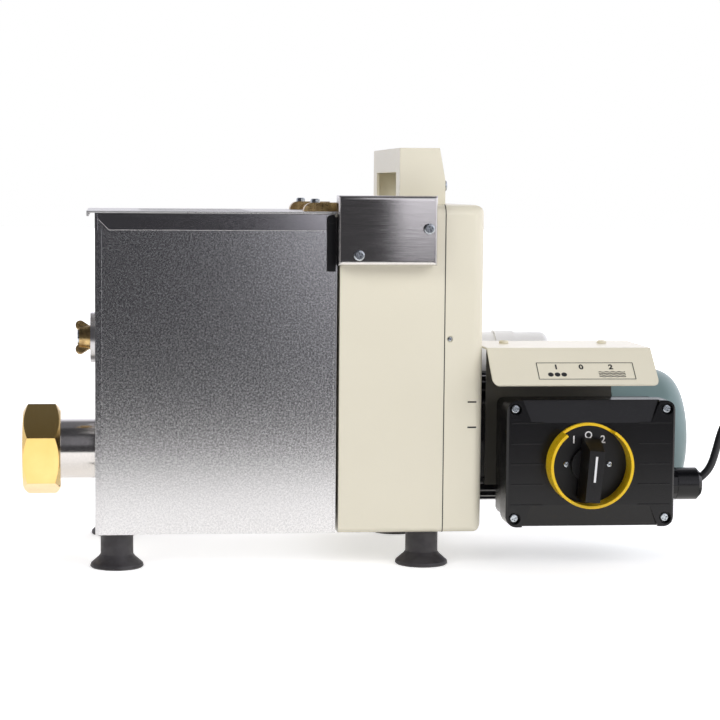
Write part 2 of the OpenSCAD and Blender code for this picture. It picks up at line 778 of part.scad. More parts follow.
// its side view: square at the joint, rounded at the rear
module cover_side(x0, x1, z0, z1, inset) {
    r = case_round - inset;
    translate([x0, z0]) square([x1 - x0 - r, z1 - z0]);
    translate([x0, z0 + r]) square([x1 - x0, z1 - z0 - 2 * r]);
    for (z = [z0 + r, z1 - r]) translate([x1 - r, z]) circle(r);
}

module rear_cover() color(cream) here() difference() {
    cover_form(0);
    difference() {
        cover_form(case_t);
        rod_x(case_x1, cover_x1, motor_r - 6, 0, motor_z);
    }
    rod_x(case_x1 - 1, cover_x1 + 1, spigot_r, 0, motor_z);
    for (z = cover_slots, side = [-1, 1])
        translate([cover_x1 - 5.5, side * half_w, z]) cube([12, 1.6, 1.2], center = true);
    rod_y(-half_w - 1, -half_w + 1, 2.2, case_x1 + 4, cover_hole_z);
}
// heights of the slots near the cover's rear edge, and of the hole at its joint
cover_slots = [106, 125];
cover_hole_z = 172;
// the motor flange's spigot in the rear cover
spigot_r = 30;

// ---------------------------------------------------------------- carrying handle

handle_x0 = case_x0 + handle_back;
handle_knee = handle_h * 0.42;
handle_screw_z = case_z1 + 14;

// the handle's side view: upright front, slanted back, a level foot
function handle_side(inset) = [
    [handle_x0 + inset, case_z1],
    [handle_x0 + inset, case_z1 + handle_h - inset],
    [handle_x0 + handle_top - inset * 0.8, case_z1 + handle_h - inset],
    [handle_x0 + handle_foot - inset, case_z1 + handle_knee],
    [handle_x0 + handle_foot - inset, case_z1]
];

module carry_handle() color(cream) here() difference() {
    along_y(-handle_w / 2, handle_w / 2) polygon(handle_side(0));
    along_y(-handle_w / 2 + handle_t, handle_w / 2 - handle_t) intersection() {
        polygon(handle_side(handle_t));
        translate([handle_x0, case_z1 - 1]) square([handle_foot, finger_h + 1]);
    }
    translate([handle_x0 - 1, -finger_w / 2, case_z1 - 1]) cube([handle_foot + 2, finger_w, finger_h + 1]);
    handle_screw_places() translate([0, 0, -handle_t - 1]) cylinder(h = handle_t + 2, r = 1.5);
}
finger_w = handle_w - 40;

module handle_screw_places() for (side = [-1, 1])
    translate([handle_x0 + handle_foot, side * (handle_w / 2 - 10), handle_screw_z])
        rotate([0, 90, 0]) children();

module handle_screws() color(zinc) here() handle_screw_places() {
    pan_head(4, 2.6);
    translate([0, 0, -handle_t]) cylinder(h = handle_t + eps, r = 1.5);
}

// ---------------------------------------------------------------- feet

bolt_r = 3;
bolt_seat = 10;

module front_feet_places() for (y = [-1, 1])
    translate([foot_front, y * (half_w - foot_inset), 0]) children();

module rear_feet_places() for (y = [-1, 1])
    translate([case_x0 + foot_back, y * (half_w - foot_inset), 0]) children();

module all_feet_places() {
    front_feet_places() children();
    rear_feet_places() children();
}

// a rubber suction foot: a neck, a flared rim and a hollow underside
module suction_feet() color(black) here() all_feet_places() difference() {
    rotate_extrude() difference() {
        polygon([
            [0, 0],
            [foot_d / 2 - 1, 0],
            [foot_d / 2, 1],
            [foot_d / 2 - 0.5, 3],
            [foot_neck_d / 2 + 1.5, foot_flare],
            [foot_neck_d / 2, foot_flare + 2],
            [foot_neck_d / 2, base_z],
            [0, base_z]
        ]);
        polygon([[0, -1], [foot_d / 2 - 6, -1], [foot_d / 2 - 9, 3], [0, 4]]);
    }
    translate([0, 0, 2]) cylinder(h = bolt_seat - 2, r = 6);
    cylinder(h = base_z + 1, r = bolt_r);
}

module foot_bolts() color(zinc) here() {
    front_feet_places() foot_bolt(base_z + plate_t);
    rear_feet_places() foot_bolt(base_z + case_t);
}

// a bolt from the hollow under the foot to its nut on the sheet at z
module foot_bolt(z) {
    head_h = 3.5;
    translate([0, 0, bolt_seat - head_h]) cylinder(h = head_h, r = 5.5, $fn = 6);
    translate([0, 0, bolt_seat - eps]) cylinder(h = z - bolt_seat + 5, r = bolt_r);
    translate([0, 0, z]) cylinder(h = 4, r = 5.2, $fn = 6);
}

// ---------------------------------------------------------------- lid

lid_z = rim_z + lid_gap;
lid_top = lid_z + lid_t;
lid_x1 = basin_x1 - 2;
arm_h = 6.5;
arm_nose = hinge_x - arm_len;
arm_screw = 9;
arm_screw_r = 2;

// the feed plate: a slotted sheet with a lip turned down in front
module lid() color(steel) here() difference() {
    union() {
        block(-lid_lip, lid_x1, -half_w, half_w, lid_z, lid_top);
        block(-lid_lip, -lid_lip + lid_t, -half_w, half_w, lid_z - lip_h, lid_z + eps);
    }
    pitch = (2 * mouth_y - 20) / feed_slots;
    for (i = [0:feed_slots - 1]) translate([0, (i - (feed_slots - 1) / 2) * pitch, 0])
        translate([tub_len * 0.42 - slot_len / 2, 0, lid_z - 1]) linear_extrude(lid_t + 2) slot_outline();
}

module slot_outline() {
    translate([slot_w / 2, -slot_w / 2]) square([slot_len - slot_w, slot_w]);
    for (x = [slot_w / 2, slot_len - slot_w / 2]) translate([x, 0]) circle(slot_w / 2, $fn = 32);
}

// the brass arms from the lid to the pin, each a bar with a round nose and an eye
module hinge_arms() color(brass) here() for (side = [-1, 1]) translate([0, side * arm_y, 0]) difference() {
    along_y(-arm_w / 2, arm_w / 2) difference() {
        union() {
            translate([arm_nose + arm_h, lid_top]) square([arm_len - arm_h, arm_h]);
            intersection() {
                translate([arm_nose + arm_h, lid_top]) circle(arm_h);
                translate([arm_nose, lid_top]) square([arm_h * 2, arm_h]);
            }
            translate([hinge_x, hinge_z]) circle(eye_r);
        }
        translate([hinge_x, hinge_z]) circle(hinge_r);
    }
    translate([arm_nose + arm_screw, 0, lid_top - 1]) cylinder(h = arm_h + 2, r = arm_screw_r);
}

// the screws that hold the arms on the lid, one through each arm
module lid_screws() color(zinc) here() for (side = [-1, 1])
    translate([arm_nose + arm_screw, side * arm_y, lid_top + arm_h]) {
        pan_head(3.6, 3);
        translate([0, 0, -arm_h]) cylinder(h = arm_h + eps, r = arm_screw_r);
    }

module hinge_pin() color(zinc) here() rod_y(pin_y0, half_w - 4.5, hinge_r, hinge_x, hinge_z);

// the flanged bushes that the pin turns in
module hinge_bushes() color(black) here() difference() {
    union() {
        rod_y(-half_w - 1.5, -pocket_y, hinge_bush_r, hinge_x, hinge_z);
        rod_y(pocket_y, half_w - 4, hinge_bush_r, hinge_x, hinge_z);
    }
    rod_y(-half_w - 2, half_w, hinge_r + run_gap, hinge_x, hinge_z);
}

// round black plugs at the rear end of the rim, each with a rubber strip below it
module rim_plugs() color(black) here() for (side = [-1, 1]) scale([1, side, 1]) {
    r = rim_plug_d / 2;
    plug_z = rim_z - r - 0.3;
    rod_y(-half_w - 1.2, -flank_y, r, rim_plug_x, plug_z);
    block(rim_plug_x - r, rim_plug_x + r, -half_w - 0.4, -flank_y, rim_z - strip_len, plug_z);
}

// ---------------------------------------------------------------- hinge cover and interlock

hood_x1 = hood_x0 + hood_len;
hood_z1 = rim_z + hood_rise;
hood_z0 = hood_z1 - hood_h;
hood_y1 = -half_w - 0.3;
hood_y0 = hood_y1 - hood_d;

// a steel tray with rounded edges, its open side towards the gear case
module hood_form(inset) intersection() {
    along_y(hood_y0 + inset, hood_y1 + (inset > 0 ? 1 : 0))
        translate([hood_x0 + inset, hood_z0 + inset]) square([hood_len - 2 * inset, hood_h - 2 * inset]);
    translate([0, 0, hood_z0]) linear_extrude(hood_h) rotate(180)
        rounded(-hood_x1 + inset, -hood_x0 - inset, -hood_y1 - 1, -hood_y0 - inset, hood_round - inset, eps);
    along_x(hood_x0, hood_x1) mirror([1, 0]) rotate(-90)
        rounded(-hood_z1 + inset, -hood_z0 - inset, -hood_y1 - 1, -hood_y0 - inset, hood_round - inset, eps);
}

module hinge_cover() color(steel) here() difference() {
    hood_form(0);
    hood_form(hood_t);
    for (p = hood_screws) rod_y(hood_y0 - 1, hood_y0 + 5, 2.1, p[0], p[1]);
}

// places of the cover's two screws, one near its lower front corner and one near its upper rear corner
front_screw = [15, 7.5];
rear_screw = [6.5, 24];
hood_screws = [
    [hood_x0 + front_screw[0], hood_z0 + front_screw[1]],
    [hood_x1 - rear_screw[0], hood_z1 - rear_screw[1]]
];

// each screw runs through a spacer to the gear case
module hinge_cover_screws() color(zinc) here() for (p = hood_screws) {
    screw_near(p[0], hood_y0, p[1], 4, 2.6, 2, hood_t + 1);
    rod_y(hood_y0 + hood_t, -half_w, 3.2, p[0], p[1]);
}

cam_r = 8;
cam_y0 = -half_w - 12;
cam_y1 = -half_w - 5;

// the cam on the hinge pin: its lobe points back to the switch while the lid is shut
module interlock_cam() color(black) here() along_y(cam_y0, cam_y1) difference() {
    union() {
        translate([hinge_x, hinge_z]) circle(cam_r - 2.5);
        translate([hinge_x, hinge_z - 3]) square([cam_r - 1, 6]);
        translate([hinge_x + cam_r - 3, hinge_z]) circle(3, $fn = 32);
    }
    translate([hinge_x, hinge_z]) circle(hinge_r);
}

plunger_len = 9;
plunger_travel = 1.5;
switch_x0 = hinge_x + cam_r + 4;

module interlock_switch() color(black) here() difference() {
    block(switch_x0, switch_x0 + 28, cam_y0, -half_w, hinge_z - 12, hinge_z + 5);
    rod_x(switch_x0 - 1, switch_x0 + plunger_len + 1, 1.8 + run_gap, (cam_y0 + cam_y1) / 2, hinge_z);
    for (x = [7, 21]) rod_y(cam_y0 - 1, cam_y0 + 2, 1.6, switch_x0 + x, hinge_z - 8);
}

module interlock_plunger() color([0.7, 0.1, 0.1]) here()
    rod_x(hinge_x + cam_r + 0.3, switch_x0 + plunger_len - plunger_travel, 1.8, (cam_y0 + cam_y1) / 2, hinge_z);

// ---------------------------------------------------------------- motor

core_r = motor_r - fin_h;
shell_t = 5;

module motor_flange() color(black) here() difference() {
    union() {
        along_x(cover_x1, cover_x1 + flange_ring_t) translate([0, motor_z]) {
            circle(core_r + 2, $fn = 96);
            for (a = [45:90:315]) rotate(a) translate([motor_r - 6, 0]) circle(6);
        }
        rod_x(case_x1 + 6, cover_x1 + eps, spigot_r, 0, motor_z);
    }
    rod_x(case_x1, cover_x1 + flange_ring_t + 1, rotor_r + run_gap, 0, motor_z);
    rod_x(case_x1 + 4, case_x1 + 14, 14, 0, motor_z);
}

// the motor's shell: a tube with fins all round but for the pad of the switch box
module motor_body() color(black) here() {
    x0 = cover_x1 + flange_ring_t;
    along_x(x0, motor_x1) translate([0, motor_z]) difference() {
        union() {
            circle(core_r, $fn = 96);
            for (i = [0:fins - 1]) rotate((i + 0.5) * 360 / fins)
                translate([0, -fin_t / 2]) square([motor_r - 0.02, fin_t]);
        }
        circle(core_r - shell_t, $fn = 96);
    }
    difference() {
        block(x0, motor_x1 - cowl_over - 1, -pad_y, -core_r + 8, motor_z - pad_h / 2, motor_z + pad_h / 2);
        rod_x(x0 - 1, motor_x1, core_r - shell_t + 1, 0, motor_z);
    }
    difference() {
        rod_x(motor_x1 - 6, motor_x1 - eps, core_r - 2, 0, motor_z);
        rod_x(motor_x1 - 7, motor_x1 + 1, rotor_r + run_gap, 0, motor_z);
    }
}
pad_h = 62;
fin_t = 2.2;

module stator() color([0.6, 0.6, 0.62]) here() difference() {
    rod_x(stator_x0, stator_x1, core_r - shell_t, 0, motor_z);
    rod_x(stator_x0 - 1, stator_x1 + 1, rotor_core_r + 1, 0, motor_z);
}
// spaces for the windings' heads at both ends of the shell
winding_front = 24;
winding_rear = 30;
stator_x0 = cover_x1 + flange_ring_t + winding_front;
stator_x1 = motor_x1 - winding_rear;
rotor_core_r = 21;

// the rotor: its shaft from the pinion to the fan, and its laminated core
module rotor() color([0.62, 0.62, 0.65]) here() {
    rod_x(fast_gear_x, fan_x0 + fan_hub_len, rotor_r, 0, motor_z);
    rod_x(stator_x0, stator_x1, rotor_core_r, 0, motor_z);
}
fan_x0 = motor_x1 + 8;
fan_hub_len = 14;
fan_hub_r = 11;
fan_blades = 9;

module motor_pinion() color(zinc) here()
    gear_at(fast_module, pinion_teeth, pinion_turn, fast_face, fast_gear_x, 0, motor_z, 0, rotor_r);

// the fan: a hub, a back disc and straight blades
module cooling_fan() color(black) here() translate([fan_x0, 0, motor_z]) {
    difference() {
        union() {
            rod_x(0, fan_hub_len, fan_hub_r);
            rod_x(0, 2, fan_r - 6);
        }
        rod_x(-1, fan_hub_len + 1, rotor_r);
    }
    for (i = [0:fan_blades - 1]) rotate([i * 360 / fan_blades, 0, 0])
        block(1, fan_hub_len - 1, -1, 1, fan_hub_r - 2, fan_r);
}

// half of the cowl's section: a tube that ends in a rounded, slightly domed cap
module cowl_section(inset) {
    r = cowl_r - inset;
    len = cowl_len + cowl_over - inset;
    round_r = cowl_round - inset;
    dome = 5;
    square([r, len - round_r - dome]);
    translate([0, len - round_r - dome - 1]) square([r - round_r, round_r + 1]);
    translate([r - round_r, len - round_r - dome]) circle(round_r);
    cap_r = ((r - round_r) * (r - round_r) + dome * dome) / (2 * dome);
    intersection() {
        translate([0, len - cap_r]) circle(cap_r, $fn = 200);
        translate([0, len - dome - 1]) square([r - round_r, dome + 1]);
    }
}
cowl_over = 10;

module fan_cowl() color([0.51, 0.61, 0.61]) here()
    translate([motor_x1 - cowl_over, 0, motor_z]) rotate([0, 90, 0]) difference() {
        rotate_extrude($fn = 96) intersection() {
            cowl_section(0);
            square(200);
        }
        translate([0, 0, -1]) rotate_extrude($fn = 96) intersection() {
            cowl_section(cowl_t);
            square(200);
        }
        for (a = [0:20:340]) rotate(a) translate([13, -1.7, cowl_len - 12]) cube([22, 3.4, 40]);
    }

// the capacitor, its rounded end and its two terminals, held by a saddle on the motor
cap_x0 = cover_x1 + 5;
cap_gap = 3;
clamp_w = 16;
clamp_t = 1.2;
saddle_w = 14;
cap_y = (motor_r + cap_gap + cap_d / 2) * cos(cap_angle);
cap_z = motor_z + (motor_r + cap_gap + cap_d / 2) * sin(cap_angle);

module capacitor() color([0.86, 0.86, 0.85]) here() translate([cap_x0, cap_y, cap_z]) rotate([0, 90, 0])
    rotate_extrude() {
        square([cap_d / 2, cap_len - 5]);
        square([cap_d / 2 - 5, cap_len]);
        intersection() {
            translate([cap_d / 2 - 5, cap_len - 5]) circle(5);
            square([cap_d / 2, cap_len]);
        }
    }

module capacitor_clamp() color(zinc) here()
    translate([cap_x0 + cap_len / 2, 0, motor_z]) rotate([cap_angle, 0, 0]) along_x(-clamp_w / 2, clamp_w / 2) {
        r = cap_d / 2;
        away = motor_r + cap_gap + r;
        translate([away, 0]) difference() {
            circle(r + clamp_t);
            circle(r);
        }
        difference() {
            translate([core_r - 1, -saddle_w / 2]) square([away - core_r - r + 2, saddle_w]);
            translate([away, 0]) circle(r + clamp_t / 2);
            circle(motor_r);
        }
    }

// ---------------------------------------------------------------- splash cover

splash_x1 = splash_x0 + splash_len;

// the cover over the switch: a level top and a flap that slopes down in front of the switch box
module splash_cover() color(cream) here() difference() {
    t = splash_t;
    intersection() {
        along_x(splash_x0, splash_x1) polygon([
            [-half_w + splash_w, splash_z - t],
            [-half_w + splash_w, splash_z],
            [-half_w, splash_z],
            [-half_w - flap_out, splash_z - flap_down],
            [-half_w - flap_out + t * 0.7, splash_z - flap_down - t * 0.7],
            [-half_w + t * 0.5, splash_z - t]
        ]);
        along_y(-half_w - flap_out - 1, -half_w + splash_w + 1)
            rounded(splash_x0, splash_x1, splash_z - flap_down - t * 0.7, splash_z + 1, eps, flap_round);
    }
    splash_screw_places() translate([0, 0, -t - 1]) cylinder(h = t + 2, r = 1.6);
}

// the upright that carries it, clamped between the motor's pad and the switch box
module splash_bracket() color(cream) here() {
    t = splash_t;
    difference() {
        block(bracket_x0, bracket_x1, -box_back_y, -pad_y, motor_z - pad_h / 2, splash_z - t);
        for (x = pad_screw_x) rod_y(-box_back_y - 1, -pad_y + 1, 2.2, x, pad_screw_z);
        rod_y(-box_back_y - 1, -pad_y + 1, wire_hole_r, box_mid_x, motor_z);
    }
    block(bracket_x0, bracket_x1, -pad_y - eps, -pad_y + bracket_lip, splash_z - 2 * t, splash_z - t);
}
bracket_x0 = box_x0 - 6;
bracket_x1 = splash_x1 - 20;
bracket_lip = 16;
pad_screw_x = [box_x0 + 20, box_x1 - 44];
pad_screw_z = motor_z + pad_h / 2 - 8;
wire_hole_r = 9;

// screws from the top into the bracket's flange
module splash_screws() color(zinc) here() splash_screw_places() {
    pan_head(3.6, 2.2);
    translate([0, 0, -splash_t]) cylinder(h = splash_t + eps, r = 1.6);
}

module splash_screw_places() for (x = [bracket_x0 + 15, bracket_x1 - 6])
    translate([x, -pad_y + bracket_lip / 2, splash_z]) children();

// ---------------------------------------------------------------- switch box

box_z0 = box_mid_z - box_h / 2;
box_z1 = box_mid_z + box_h / 2;
corner_inset = 6.5;

module box_corners()
    for (x = [box_x0 + corner_inset, box_x1 - corner_inset], z = [box_z0 + corner_inset, box_z1 - corner_inset])
        translate([x, 0, z]) children();

module box_outline(inset) {
    r = box_round - inset;
    rounded(box_x0 + inset, box_x1 - inset, box_z0 + inset, box_z1 - inset, r, r);
}

gland_z = box_mid_z - gland_drop;
gland_y = -box_split_y + box_base_d / 2 - 1.5;
gland_neck_r = gland_d / 2 - 4;

// the box's base: a tray with screw pillars in its corners and a hole for the gland
module switch_base() color(black) here() difference() {
    union() {
        difference() {
            along_y(-box_split_y, -box_back_y) box_outline(base_inset);
            along_y(-box_split_y - 1, -box_back_y - box_t) box_outline(base_inset + box_t);
        }
        intersection() {
            box_corners() rod_y(-box_split_y, -box_back_y, 5);
            along_y(-box_split_y, -box_back_y) box_outline(base_inset);
        }
    }
    box_corners() rod_y(-box_split_y - 1, -box_split_y + 14, 1.6);
    rod_x(box_x1 - 12, box_x1 + 1, gland_neck_r, gland_y, gland_z);
    for (x = pad_screw_x) rod_y(-box_split_y, -box_back_y + 1, 2.2, x, pad_screw_z);
    rod_y(-box_split_y, -box_back_y + 1, wire_hole_r, box_mid_x, motor_z);
}

// distance from the box's middle to where its face starts to slope
face_z = box_h / 2 - slope_h;
slope_side = 20.5;
slope_taper = 9;
edge_cut = 1.6;
rib_len = 24;
rib_h = 0.9;
well_r = 4.5;
well_d = 4;

// what is cut from the face: along its top and its bottom, between the screws, it slopes back
module face_slopes() intersection() {
    along_x(box_x0 - 1, box_x1 + 1) for (side = [-1, 1]) polygon([
        [-box_front_y - 1, box_mid_z + side * (face_z - slope_h / slope_d)],
        [-box_front_y + slope_d, box_mid_z + side * box_h / 2],
        [-box_front_y + slope_d, box_mid_z + side * (box_h / 2 + 5)],
        [-box_front_y - 1, box_mid_z + side * (box_h / 2 + 5)]
    ]);
    along_y(-box_front_y - 2, -box_front_y + slope_d + 1) for (side = [-1, 1]) polygon([
        [box_x0 + slope_side, box_mid_z + side * (face_z - 4)],
        [box_x0 + slope_side - slope_taper, box_mid_z + side * (box_h / 2 + 1)],
        [box_x1 - slope_side + slope_taper, box_mid_z + side * (box_h / 2 + 1)],
        [box_x1 - slope_side, box_mid_z + side * (face_z - 4)]
    ]);
}

// the box's lid: its face slopes back between the screws, its ends are bevelled and carry low ribs
module switch_lid() color(black) here() difference() {
    union() {
        difference() {
            along_y(-box_front_y, -box_split_y) box_outline(0);
            face_slopes();
            along_y(-box_front_y + slope_d + box_t, -box_split_y + 1) box_outline(box_t);
        }
        box_corners() rod_y(-box_front_y + slope_d, -box_split_y, corner_inset - box_t + 0.5);
        for (x = [box_x0 + 3.5, box_x1 - 3.5 - rib_len], i = [-2:2])
            translate([x, -box_front_y - 0.5, box_mid_z + i * face_z / 2 - rib_h / 2]) cube([rib_len, 1, rib_h]);
    }
    translate([0, 0, box_z0 - 1]) linear_extrude(box_h + 2) for (end = [[box_x0, 1], [box_x1, -1]]) polygon([
        [end[0] - end[1], -box_front_y - 1],
        [end[0] + end[1] * (edge_cut + 1), -box_front_y - 1],
        [end[0] - end[1], -box_front_y + edge_cut + 1]
    ]);
    box_corners() {
        rod_y(-box_front_y - 1, -box_front_y + well_d, well_r);
        rod_y(-box_front_y, -box_split_y + 1, 2);
    }
    rod_y(-box_front_y - 1, -box_split_y + 1, dial_hole_r, dial_x, box_mid_z);
}
dial_hole_r = 10;

module switch_lid_screws() color(zinc) here() box_corners() {
    y = -box_front_y + well_d;
    screw_near(0, y, 0, 3.4, 2.4, 1.55, -box_split_y + 12 - y);
}

// the cam switch behind the dial
module switch_block() color([0.25, 0.25, 0.27]) here() difference() {
    inner_y = -box_front_y + slope_d + box_t;
    half = 22;
    union() {
        translate([dial_x - half, inner_y, box_mid_z - half])
            cube([2 * half, -box_split_y + 12 - inner_y, 2 * half]);
        rod_y(-box_front_y + 0.5, inner_y + eps, dial_hole_r - 0.3, dial_x, box_mid_z);
    }
    rod_y(-box_front_y, -box_split_y + 8, spindle_r + run_gap, dial_x, box_mid_z);
}
spindle_r = 4;
dial_t = 2;

module dial() color(black) here() difference() {
    rod_y(-box_front_y - dial_t, -box_front_y, collar_d / 2 - collar_t, dial_x, box_mid_z);
    rod_y(-box_front_y - 3, -box_front_y + 1, spindle_r + run_gap, dial_x, box_mid_z);
}

// the collar: a thin wall round the dial, low where the numbers stand
module dial_collar() color([0.98, 0.85, 0.1]) here() on_box_face() difference() {
    cylinder(h = collar_h, r = collar_d / 2, $fn = 96);
    translate([0, 0, -1]) cylinder(h = collar_h + 2, r = collar_d / 2 - collar_t, $fn = 96);
    translate([0, 0, dial_t + 1]) linear_extrude(collar_h) polygon([
        [0, 0],
        collar_d * [cos(low_from), sin(low_from)],
        [0, collar_d],
        collar_d * [cos(low_to), sin(low_to)]
    ]);
}
// the angles between which the collar is low
low_from = 129;
low_to = 57;

// the middle of the dial on the box's face, with Z towards the user and Y up
module on_box_face() translate([dial_x, -box_front_y, box_mid_z]) rotate([90, 0, 0]) children();

// the knob: a round foot, a spindle and a pointed grip that stands a little to the right
module switch_knob() color(black) here() on_box_face() rotate(-knob_tilt) {
    foot_top = dial_t + 4.3;
    spindle_len = slope_d + box_t + 12;
    translate([0, 0, dial_t + 0.3]) cylinder(h = 4, r = knob_foot_r);
    translate([0, 0, -spindle_len]) cylinder(h = spindle_len + dial_t + 1, r = spindle_r);
    intersection() {
        rotate([90, 0, 0]) translate([0, 0, -grip_up - grip_ramp])
            linear_extrude(grip_up + grip_ramp + grip_down) polygon([
                [-grip_w * 0.62, foot_top - 1],
                [grip_w * 0.62, foot_top - 1],
                [grip_w / 2, knob_h],
                [-grip_w / 2, knob_h]
            ]);
        translate([-grip_w, 0, 0]) rotate([90, 0, 90]) linear_extrude(2 * grip_w) polygon([
            [-grip_down, foot_top - 1],
            [grip_up + grip_ramp, foot_top - 1],
            [grip_up + grip_ramp, foot_top],
            [grip_up, knob_h],
            [-grip_down, knob_h]
        ]);
    }
}
grip_ramp = 7;
knob_tilt = 4.5;

// the gland: a nut on the box's end wall and a bevelled cap
module cable_gland() color(black) here()
    translate([box_x1 - base_inset, gland_y, gland_z]) rotate([0, 90, 0]) difference() {
        union() {
            translate([0, 0, -8]) cylinder(h = 9, r = gland_neck_r);
            cylinder(h = gland_len * 0.4, r = gland_d / 2, $fn = 12);
            rotate_extrude() polygon([
                [0, gland_len * 0.4 - eps],
                [gland_d / 2, gland_len * 0.4],
                [gland_d / 2, gland_len - 3],
                [gland_d / 2 - 3, gland_len],
                [0, gland_len]
            ]);
        }
        translate([0, 0, -9]) cylinder(h = gland_len + 10, r = cord_d / 2);
        translate([0, 0, gland_len - mouth_len])
            cylinder(h = mouth_len + eps, r1 = cord_d / 2, r2 = cord_d / 2 + 4.5);
    }

// length of the gland's flared mouth
mouth_len = 13;

// ---------------------------------------------------------------- cord

// route of the cord from the gland to the coil, in the part's own frame
lead_points = [
    [236, -53, 60], [241, -53, 60], [248, -53, 60.8], [254, -53, 63.2], [259, -53, 67], [262.8, -53, 72],
    [265.2, -53, 77.8], [267.3, -53, 85.5], [269.3, -53, 93.3], [271.3, -53, 100.5], [274.4, -53, 107.5],
    [280.3, -53, 114.3], [288.6, -53, 119], [298, -53, 120.7], [307.5, -53, 119], [316, -53, 114.3],
    [322.2, -53, 107], [325.3, -53, 99.5], [326, -53, 91], [326, -53, 78], [326, -52.5, 64],
    [326, -51.5, 53], [326, -49, 42], [326, -44.5, 31.5], [326, -37.5, 22], [326, -28, 13.5],
    [326, -17, 7.5], [326, -5, 4], [326, 6, 3]
];

// route from the coil to the plug
tail_points = [
    [420.7, 24, 9], [421.8, 13, 8], [422.7, 2, 6.5], [423, -10, 4.5], [423, -22, 3.2], [423, -34, 3],
    [423, -46, 3], [423, -58, 3], [421, -70, 3], [415, -81, 3], [406, -89.5, 3], [395, -94, 4],
    [383, -95, 7], [372, -95, 12], [362, -95, 16.5], [353, -95, 18]
];

coil_x = 371;
coil_y = 30;
coil_in = 24;
coil_out = 48;
coil_h = 12;
cord_sides = 10;

function unit(v) = v / norm(v);

function heading(p, i) = unit(p[min(i + 1, len(p) - 1)] - p[max(i - 1, 0)]);

// a side direction for each point, carried along the route without twist
function sides_of(p, i = 0, last = [0, 1, 0]) =
    i == len(p) ? [] :
    let (t = heading(p, i), s = unit(last - (last * t) * t)) concat([s], sides_of(p, i + 1, s));

// a round tube swept along a list of points
module tube(p, r) {
    s = sides_of(p);
    n = cord_sides;
    rings = [
        for (i = [0:len(p) - 1], k = [0:n - 1])
            let (t = heading(p, i), u = s[i], v = cross(t, u), a = k * 360 / n)
                p[i] + r * (cos(a) * u + sin(a) * v)
    ];
    walls = [
        for (i = [0:len(p) - 2], k = [0:n - 1])
            let (a = i * n + k, b = i * n + (k + 1) % n) [a, a + n, b + n, b]
    ];
    ends = [[for (k = [0:n - 1]) k], [for (k = [n - 1:-1:0]) (len(p) - 1) * n + k]];
    polyhedron(rings, concat(walls, ends), convexity = 6);
}

module cord_lead() color(black) tube(lead_points, cord_d / 2);

module cord_tail() color(black) tube(tail_points, cord_d / 2);

module cord_coil() color(black) translate([coil_x, coil_y, 0]) rotate_extrude() polygon([
    [coil_in, 0],
    [coil_out, 0],
    [coil_out, coil_h / 2],
    [coil_out - 3, coil_h],
    [coil_in + 3, coil_h],
    [coil_in, coil_h / 2]
]);

// the plug: a moulded round-ended body with two pins, on its side on the table
module plug() color(black) translate(tail_points[len(tail_points) - 1]) rotate([0, -90, 0]) {
    cylinder(h = 12, r1 = 4.5, r2 = 6.5);
    translate([0, 0, 12]) cylinder(h = 12, r1 = 11, r2 = plug_r);
    translate([0, 0, 24]) cylinder(h = 15, r = plug_r);
    for (side = [-1, 1]) translate([0, side * 9.5, 39 - eps]) cylinder(h = 19, r = 2.4);
}
plug_r = 18;

front_plate();
flank();  // near_flank
far_flank();
tub_rear_plate();
basin();
base_sheet();
barrel();
die();
ring_nut();
kneader_flange();
kneader_pin();
wing_nut();
auger();
kneader();
auger_gear();
kneader_gear();
counter_gear();
drive_bearings();
bearing_plate();
gear_case();
rear_cover();
carry_handle();
handle_screws();
suction_feet();
foot_bolts();
lid();
hinge_arms();
lid_screws();
hinge_pin();
hinge_bushes();
rim_plugs();
hinge_cover();
hinge_cover_screws();
interlock_cam();
interlock_switch();
interlock_plunger();
motor_flange();
motor_body();
stator();
rotor();
motor_pinion();
cooling_fan();
fan_cowl();
capacitor();
capacitor_clamp();
splash_cover();
splash_bracket();
splash_screws();
switch_base();
switch_lid();
switch_lid_screws();
switch_block();
dial();
dial_collar();
switch_knob();
cable_gland();
cord_lead();
cord_coil();
cord_tail();
plug();
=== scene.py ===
"""Looks of the electric pasta maker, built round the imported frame."""

import math

import bmesh
import bpy
from mathutils import Matrix, Vector


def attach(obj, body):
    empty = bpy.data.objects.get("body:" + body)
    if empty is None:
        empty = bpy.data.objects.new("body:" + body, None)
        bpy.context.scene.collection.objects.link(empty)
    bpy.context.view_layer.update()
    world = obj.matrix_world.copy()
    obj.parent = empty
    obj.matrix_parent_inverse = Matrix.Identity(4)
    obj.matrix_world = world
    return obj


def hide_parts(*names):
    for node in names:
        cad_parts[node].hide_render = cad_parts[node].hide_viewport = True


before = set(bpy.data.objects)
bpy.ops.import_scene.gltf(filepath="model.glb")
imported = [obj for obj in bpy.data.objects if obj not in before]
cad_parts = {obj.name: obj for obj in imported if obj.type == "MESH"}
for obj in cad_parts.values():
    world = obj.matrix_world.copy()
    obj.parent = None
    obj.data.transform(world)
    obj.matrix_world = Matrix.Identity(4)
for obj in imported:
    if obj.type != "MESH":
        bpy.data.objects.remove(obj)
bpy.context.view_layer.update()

scene = bpy.context.scene
scene.view_settings.view_transform = "Standard"

# the origin of the part's frame, measured from the tub's front plate and the middle of the tub
MID_X = 0.205
MID_Y = -0.023
# the side sheets' outer faces, from the middle of the tub; their folds stand out from there
FLANK_Y = 0.0942
# the lower border of the sheets' folded top
FOLD_Z = 0.252
# where the sheets are crowned along the machine, and how much: middle and radius
FLANK_CROWN = (-0.116, 2.5)
HOOD_CROWN = (0.012, 0.4)


# ---------------------------------------------------------------- camera

